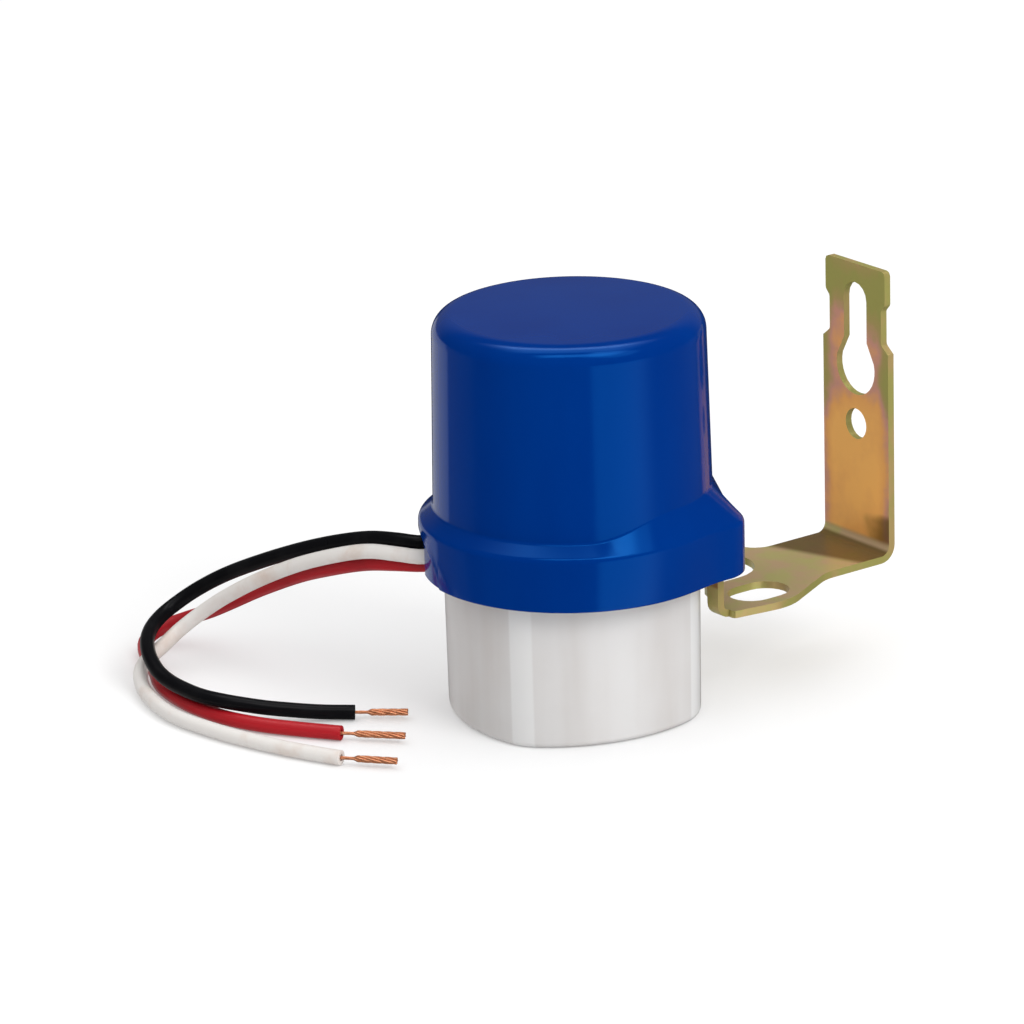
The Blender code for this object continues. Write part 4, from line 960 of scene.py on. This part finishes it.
ROUTES = (
    LeadRoute("black", BLACK_PVC, -1.4 * MM, 34.9 * MM, (
        (-0.0268, 0.0228, 0.0348), (-0.0286, 0.0296, 0.0338), (-0.0310, 0.0376, 0.0315),
        (-0.0333, 0.0470, 0.0280), (-0.0355, 0.0584, 0.0230), (-0.0379, 0.0680, 0.0182),
        (-0.0413, 0.0741, 0.0140), (-0.0463, 0.0761, 0.0108), (-0.0505, 0.0746, 0.0096),
        (-0.0539, 0.0721, 0.0089), (-0.0570, 0.0686, 0.0083), (-0.0595, 0.0644, 0.0075),
        (-0.0610, 0.0606, 0.0066), (-0.0618, 0.0570, 0.0057), (-0.0620, 0.0534, 0.0051),
        (-0.0621, 0.0490, 0.0049), (-0.0617, 0.0425, 0.0049), (-0.0600, 0.0370, 0.0049),
        (-0.0573, 0.0338, 0.0044), (-0.0540, 0.0316, 0.0036), (-0.0502, 0.0296, 0.0028),
        (-0.0443, 0.0259, 0.0019), (-0.0388, 0.0219, 0.0016)), (-0.0308, 0.0151, 0.0016)),
    LeadRoute("white", WHITE_PVC, 1.7 * MM, 33.0 * MM, (
        (-0.0287, 0.0199, 0.0330), (-0.0309, 0.0268, 0.0323), (-0.0332, 0.0345, 0.0300),
        (-0.0354, 0.0450, 0.0258), (-0.0378, 0.0554, 0.0205), (-0.0405, 0.0639, 0.0152),
        (-0.0435, 0.0686, 0.0112), (-0.0476, 0.0706, 0.0080), (-0.0506, 0.0702, 0.0066),
        (-0.0537, 0.0692, 0.0056), (-0.0565, 0.0682, 0.0050), (-0.0588, 0.0671, 0.0044),
        (-0.0605, 0.0659, 0.0036), (-0.0618, 0.0642, 0.0027), (-0.0629, 0.0620, 0.0020),
        (-0.0640, 0.0592, 0.0016), (-0.0654, 0.0549, 0.0016), (-0.0667, 0.0494, 0.0016),
        (-0.0673, 0.0430, 0.0016), (-0.0665, 0.0356, 0.0016), (-0.0646, 0.0263, 0.0016),
        (-0.0610, 0.0152, 0.0016), (-0.0573, 0.0066, 0.0016), (-0.0555, 0.0030, 0.0016)),
              (-0.0483, -0.0055, 0.0016)),
    LeadRoute("red", RED_PVC, -1.7 * MM, 30.2 * MM, (
        (-0.0274, 0.0230, 0.0299), (-0.0292, 0.0304, 0.0284), (-0.0309, 0.0390, 0.0256),
        (-0.0322, 0.0493, 0.0216), (-0.0339, 0.0610, 0.0160), (-0.0357, 0.0690, 0.0116),
        (-0.0369, 0.0754, 0.0082), (-0.0390, 0.0810, 0.0056), (-0.0430, 0.0842, 0.0037),
        (-0.0475, 0.0835, 0.0024), (-0.0508, 0.0793, 0.0018), (-0.0536, 0.0731, 0.0016),
        (-0.0564, 0.0668, 0.0016), (-0.0588, 0.0620, 0.0016), (-0.0604, 0.0570, 0.0016),
        (-0.0613, 0.0505, 0.0016), (-0.0613, 0.0434, 0.0016), (-0.0599, 0.0355, 0.0016),
        (-0.0570, 0.0284, 0.0016), (-0.0526, 0.0212, 0.0016), (-0.0476, 0.0141, 0.0016)),
              (-0.0390, 0.0047, 0.0016)),
)


def smooth_run(points: list[Vector], step: float) -> list[Vector]:
    """Return points at even steps along a smooth curve through the given points.

    Args:
        points: The points that the curve passes.
        step: The distance from point to point.

    Returns:
        The curve's points, with both ends kept.
    """
    fine = []
    padded = [points[0] * 2.0 - points[1]] + points + [points[-1] * 2.0 - points[-2]]
    for index in range(1, len(padded) - 2):
        a, b, c, d = padded[index - 1:index + 3]
        for part in range(SPAN_PARTS):
            t = part / SPAN_PARTS
            fine.append(0.5 * (2.0 * b + (c - a) * t + (2.0 * a - 5.0 * b + 4.0 * c - d) * t * t
                               + (3.0 * b - a - 3.0 * c + d) * t * t * t))
    fine.append(points[-1])
    spans = [(after - before).length for before, after in zip(fine, fine[1:])]
    count = round(sum(spans) / step)
    run, walked, target = [fine[0]], 0.0, sum(spans) / count
    for index, span in enumerate(spans):
        while walked + span >= target and len(run) < count:
            run.append(fine[index].lerp(fine[index + 1], (target - walked) / span))
            target += sum(spans) / count
        walked += span
    run.append(fine[-1])
    return run


def tube_mesh(runs: list[tuple[list[Vector], list[float]]], sides: int) -> bmesh.types.BMesh:
    """Return round tubes along runs of points, each point with its own radius.

    Args:
        runs: Each tube as its points and its radius at each of them.
        sides: The curve's bevel resolution.

    Returns:
        A bmesh that holds every tube, closed at both ends.
    """
    curve = bpy.data.curves.new("run", "CURVE")
    curve.dimensions = "3D"
    curve.bevel_depth = 1.0 * MM
    curve.bevel_resolution = sides
    for points, radii in runs:
        spline = curve.splines.new("POLY")
        spline.points.add(len(points) - 1)
        for target, point, radius in zip(spline.points, points, radii):
            target.co = (*point, 1.0)
            target.radius = radius / MM
        spline.use_smooth = True
    helper = linked("run", curve)
    bm = bmesh.new()
    bm.from_mesh(evaluated(helper))
    bpy.data.objects.remove(helper, do_unlink=True)
    ends = [edge for edge in bm.edges if edge.is_boundary]
    bmesh.ops.holes_fill(bm, edges=ends, sides=0)
    bmesh.ops.recalc_face_normals(bm, faces=bm.faces[:])
    return bm


@dataclass
class Lead:
    """One insulated lead with its stripped, twisted end."""

    route: LeadRoute
    exit: CordExit
    start_reach: float
    diameter: float = 3.0 * MM
    straight: float = 3.0 * MM
    step: float = 1.5 * MM
    bore: float = 1.3 * MM
    bore_depth: float = 1.2 * MM
    neck_length: float = 3.2 * MM
    neck_radius: float = 0.34 * MM
    bundle_radius: float = 0.72 * MM
    strands: int = 7
    strand_steps: int = 48
    lay: float = 13.0 * MM
    swell_before: float = 0.8 * MM
    swell_length: float = 1.1 * MM
    lip: float = 0.12 * MM

    def middle(self) -> list[Vector]:
        """Return the points of the lead's middle line."""
        route = self.route
        points = [self.exit.place(route.side, route.height, self.start_reach + part)
                  for part in (0.0, self.straight)]
        return smooth_run(points + [Vector(point) for point in route.points], self.step)

    def build(self) -> None:
        line = self.middle()
        jacket = self.jacket(line)
        strands = self.strand_piece(line)
        length = sum((after - before).length for before, after in zip(line, line[1:]))
        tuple(line[0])
        LOG.info("%s lead: %.1f mm long", self.route.name, length / MM)

    def jacket(self, line: list[Vector]) -> bpy.types.Object:
        """Return the insulation, cut square with a hollow round the conductor."""
        radius = self.diameter / 2.0
        bm = tube_mesh([(line, [radius] * len(line))], 10)
        end = line[-1]
        along = (line[-1] - line[-2]).normalized()
        cap = max((face for face in bm.faces if len(face.verts) > 4),
                  key=lambda face: -(face.calc_center_median() - end).length)
        bmesh.ops.inset_region(bm, faces=[cap], thickness=radius - self.bore / 2.0,
                               use_even_offset=True)
        swept = bmesh.ops.extrude_face_region(bm, geom=[cap])
        moved = [item for item in swept["geom"] if isinstance(item, bmesh.types.BMVert)]
        bmesh.ops.translate(bm, vec=along * -self.bore_depth, verts=moved)
        bmesh.ops.delete(bm, geom=[cap], context="FACES_ONLY")
        lips = [edge for edge in bm.edges if edge.is_manifold
                and edge.calc_face_angle() > math.radians(60.0)
                and all((vert.co - end).length < radius * 1.1 for vert in edge.verts)]
        bmesh.ops.bevel(bm, geom=lips, offset=self.lip, segments=3, profile=0.5,
                        affect="EDGES", material=-1, clamp_overlap=True)
        bmesh.ops.recalc_face_normals(bm, faces=bm.faces[:])
        name = self.route.name
        return add_piece(f"{name}_jacket", bm, self.route.finish,
                         f"{name}_lead")

    def strand_piece(self, line: list[Vector]) -> bpy.types.Object:
        """Return the twisted strands, thin at the neck and full in the bundle."""
        stripped = Vector(self.route.tip) - line[-1]
        along = stripped.normalized()
        turn = Vector((0.0, 0.0, 1.0)).rotation_difference(along).to_matrix()
        sunk = self.bore_depth * 0.9
        start = line[-1] - along * sunk
        total = sunk + stripped.length
        neck_end = sunk + self.neck_length
        runs = []
        for strand in range(self.strands):
            points, radii = [], []
            for step in range(self.strand_steps + 1):
                reach = total * step / self.strand_steps
                swell = ease((reach - neck_end + self.swell_before) / self.swell_length)
                outer = self.neck_radius + (self.bundle_radius - self.neck_radius) * swell
                thick = outer / 3.0
                ring = 0.0 if strand == 0 else outer - thick
                angle = math.tau * (strand / (self.strands - 1.0) + reach / self.lay)
                offset = Vector((ring * math.cos(angle), ring * math.sin(angle), reach))
                points.append(start + turn @ offset)
                radii.append(thick)
            runs.append((points, radii))
        name = self.route.name
        return add_piece(f"{name}_strands", tube_mesh(runs, 3), COPPER,
                         f"{name}_conductor")


@dataclass
class InnerParts:
    """The pieces inside the housing, dressed as they are."""

    def build(self) -> None:
        """Give every other CAD node that shows its finish."""
        slots = {part["node"]: part["material_slot"] for part in frame["record"]["subparts"]}
        for node, obj in frame["nodes"].items():
            if obj.hide_render:
                continue
            finish = INNER_FINISHES[slots[node]]
            obj.data.materials.clear()
            obj.data.materials.append(finish.material())
            LOG.info("%s: dressed in %s", node, finish.name)


class Ray(enum.Enum):
    """The rays that see surroundings of their own."""

    GLOSSY = "Is Glossy Ray"
    CAMERA = "Is Camera Ray"


@dataclass(frozen=True)
class Panel:
    """A pale panel below the horizon, seen in reflections only, by its turn in degrees."""

    start: float
    full: float
    fade: float
    end: float
    strength: float

    def seen(self, turn: Wire) -> Wire:
        """Return how brightly the panel shows at a turn to the camera's right."""
        start, full, fade, end = (math.radians(angle) for angle in (
            self.start, self.full, self.fade, self.end))
        return turn.step(start, full) * turn.step(end, fade) * self.strength


@dataclass(frozen=True)
class Softbox:
    """A softbox overhead, seen in reflections only; spans are (middle, half, soft)."""

    ahead: tuple[float, float, float]
    right: tuple[float, float, float]
    strength: float
    rise: tuple[float, float] = (0.6, 0.8)

    def seen(self, ahead: Wire, right: Wire, up: Wire) -> Wire:
        """Return how brightly the softbox shows in a direction."""
        return (ahead.band(*self.ahead) * right.band(*self.right)
                * up.step(*self.rise) * self.strength)


PANELS = (
    Panel(-59.0, -56.0, -16.0, -13.0, 0.55),
    Panel(-98.0, -88.0, -64.0, -54.0, 0.12),
    Panel(48.0, 54.0, 106.0, 112.0, 0.06),
    Panel(104.0, 128.0, 160.0, 166.0, 1.3),
)
SOFTBOXES = (
    Softbox((0.1, 0.2, 0.16), (0.0, 0.3, 0.35), 2.2),
    Softbox((0.24, 0.05, 0.08), (-0.02, 0.28, 0.2), 2.6),
    Softbox((-0.48, 0.07, 0.07), (0.1, 0.3, 0.25), 4.2),
    Softbox((-0.30, 0.06, 0.06), (0.38, 0.12, 0.1), 2.2),
    Softbox((-0.45, 0.16, 0.1), (0.46, 0.2, 0.12), 1.5, (0.45, 0.6)),
)


@dataclass
class Studio:
    """The pale floor, the soft light and the camera."""

    camera_place: tuple[float, float, float] = (-0.65215, -0.86665, 0.40377)
    heading: float = 0.634
    pitch: float = 0.323
    roll: float = -0.028
    focal_pixels: float = 5803.993
    frame_pixels: float = 1024.0
    sensor: float = 36.0
    floor_size: float = 12.0
    floor_drop: float = 0.05 * MM
    floor_grey: Colour = (0.66, 0.66, 0.66)
    floor_glow: float = 0.235
    sky_light: float = 1.12
    behind_light: float = 0.11
    dim_light: float = 0.02
    key_power: float = 6.5
    fill_power: float = 2.1
    aim: tuple[float, float, float] = (0.0, 0.0, 40.0 * MM)

    def build(self) -> None:
        """Make the camera, the floor and the surroundings."""
        self.make_camera()
        self.make_floor()
        self.make_world()
        bpy.context.scene.view_settings.view_transform = "Standard"

    def make_camera(self) -> None:
        """Place the camera as the photograph was taken."""
        ahead = Vector((math.sin(self.heading) * math.cos(self.pitch),
                        math.cos(self.heading) * math.cos(self.pitch), -math.sin(self.pitch)))
        right = Vector((math.cos(self.heading), -math.sin(self.heading), 0.0))
        up = right.cross(ahead)
        rolled_right = right * math.cos(self.roll) + up * math.sin(self.roll)
        rolled_up = up * math.cos(self.roll) - right * math.sin(self.roll)
        data = bpy.data.cameras.new("camera")
        data.sensor_width = self.sensor
        data.lens = self.focal_pixels / self.frame_pixels * self.sensor
        data.clip_end = 50.0
        camera = linked("camera", data)
        turned = Matrix((rolled_right, rolled_up, -ahead)).transposed().to_4x4()
        camera.matrix_world = Matrix.Translation(self.camera_place) @ turned
        bpy.context.scene.camera = camera

    def make_floor(self) -> None:
        """Lay the pale floor under the switch."""
        bm = bmesh.new()
        bmesh.ops.create_grid(bm, x_segments=1, y_segments=1, size=self.floor_size / 2.0)
        bmesh.ops.translate(bm, vec=(0.0, 0.0, -self.floor_drop), verts=bm.verts[:])
        mesh = bpy.data.meshes.new("floor")
        bm.to_mesh(mesh)
        bm.free()
        material = bpy.data.materials.new("floor_white")
        material.use_nodes = True
        shader = Shader(material.node_tree)
        shader.surface({"Base Color": self.floor_grey, "Roughness": 0.9,
                        "Specular IOR Level": 0.0, "Emission Color": (1.0, 1.0, 1.0),
                        "Emission Strength": self.floor_glow})
        mesh.materials.append(material)
        floor = linked("floor", mesh)
        floor.visible_glossy = False

    def make_world(self) -> None:
        """Surround the switch with soft white, and its reflections with a dim studio."""
        world = bpy.data.worlds.new("studio")
        world.use_nodes = True
        bpy.context.scene.world = world
        shader = Shader(world.node_tree)
        direction = shader.node("ShaderNodeTexCoord").outputs["Generated"]
        x, y, up = shader.axes(direction)
        ahead = x * math.sin(self.heading) + y * math.cos(self.heading)
        right = x * math.cos(self.heading) - y * math.sin(self.heading)
        turn = right.math("ARCTAN2", right, ahead)
        low = up.step(0.05, -0.02)
        behind = ahead.step(0.6, 0.9) * up.step(0.75, 0.5) * (1.0 - low)
        seen = (low * sum(panel.seen(turn) for panel in PANELS)
                + sum(box.seen(ahead, right, up) for box in SOFTBOXES)
                + behind * self.behind_light + self.dim_light)
        sky = up.step(0.0, 0.8) * self.sky_light + right.step(-0.7, 0.9) * 0.16 + 0.12
        path = shader.node("ShaderNodeLightPath")
        glossy = shader.wire(path, Ray.GLOSSY.value)
        camera = shader.wire(path, Ray.CAMERA.value)
        strength = glossy * (seen - sky) + sky
        strength = camera * (1.0 - strength) + strength
        background = shader.node("ShaderNodeBackground", {}, {
            "Color": (1.0, 1.0, 1.0), "Strength": strength})
        shader.node("ShaderNodeOutputWorld", {}, {0: background.outputs[0]})

    def make_lights(self) -> None:
        """Hang the key light at the front right and a fill flagged to the bracket alone."""
        self.soft_light("key", (0.1, -1.0, 0.75), (0.6, 0.5), self.key_power)
        fill = self.soft_light("bracket_fill", (-0.35, 0.45, 0.35), (0.3, 0.3),
                               self.fill_power)
        lit = bpy.data.collections.new("bracket_lit")
        lit.objects.link(bpy.data.objects["bracket_sheet"])
        fill.light_linking.receiver_collection = lit

    def soft_light(self, name: str, place: tuple[float, float, float],
                   size: tuple[float, float], power: float) -> bpy.types.Object:
        """Add one area light that faces the switch.

        Args:
            name: The light's name.
            place: Where it hangs.
            size: Its width and height.
            power: Its power in watts.

        Returns:
            The light.
        """
        data = bpy.data.lights.new(name, "AREA")
        data.shape = "RECTANGLE"
        data.size, data.size_y = size
        data.energy = power
        light = linked(name, data)
        light.visible_glossy = False
        facing = (Vector(self.aim) - Vector(place)).to_track_quat("-Z", "Y")
        light.matrix_world = Matrix.Translation(place) @ facing.to_matrix().to_4x4()
        return light


def main() -> None:
    """Build the studio, then build and dress every piece of the switch."""
    logging.basicConfig(level=logging.INFO, format="%(name)s: %(message)s")
    studio = Studio()
    studio.build()
    cord_exit = CordExit()
    outward = cord_exit.place(0.0, 0.0, 1.0)
    seal_face = max(outward.dot(vert.co) for vert in frame["nodes"]["cord_seal"].data.vertices)
    for route in ROUTES:
        Lead(route, cord_exit, seal_face + SEAL_GAP).build()
    hood = Hood(cord_exit)
    hood.build()
    Cup(hood).build()
    Bracket().build()
    InnerParts().build()
    studio.make_lights()


if __name__ == "__main__":
    main()
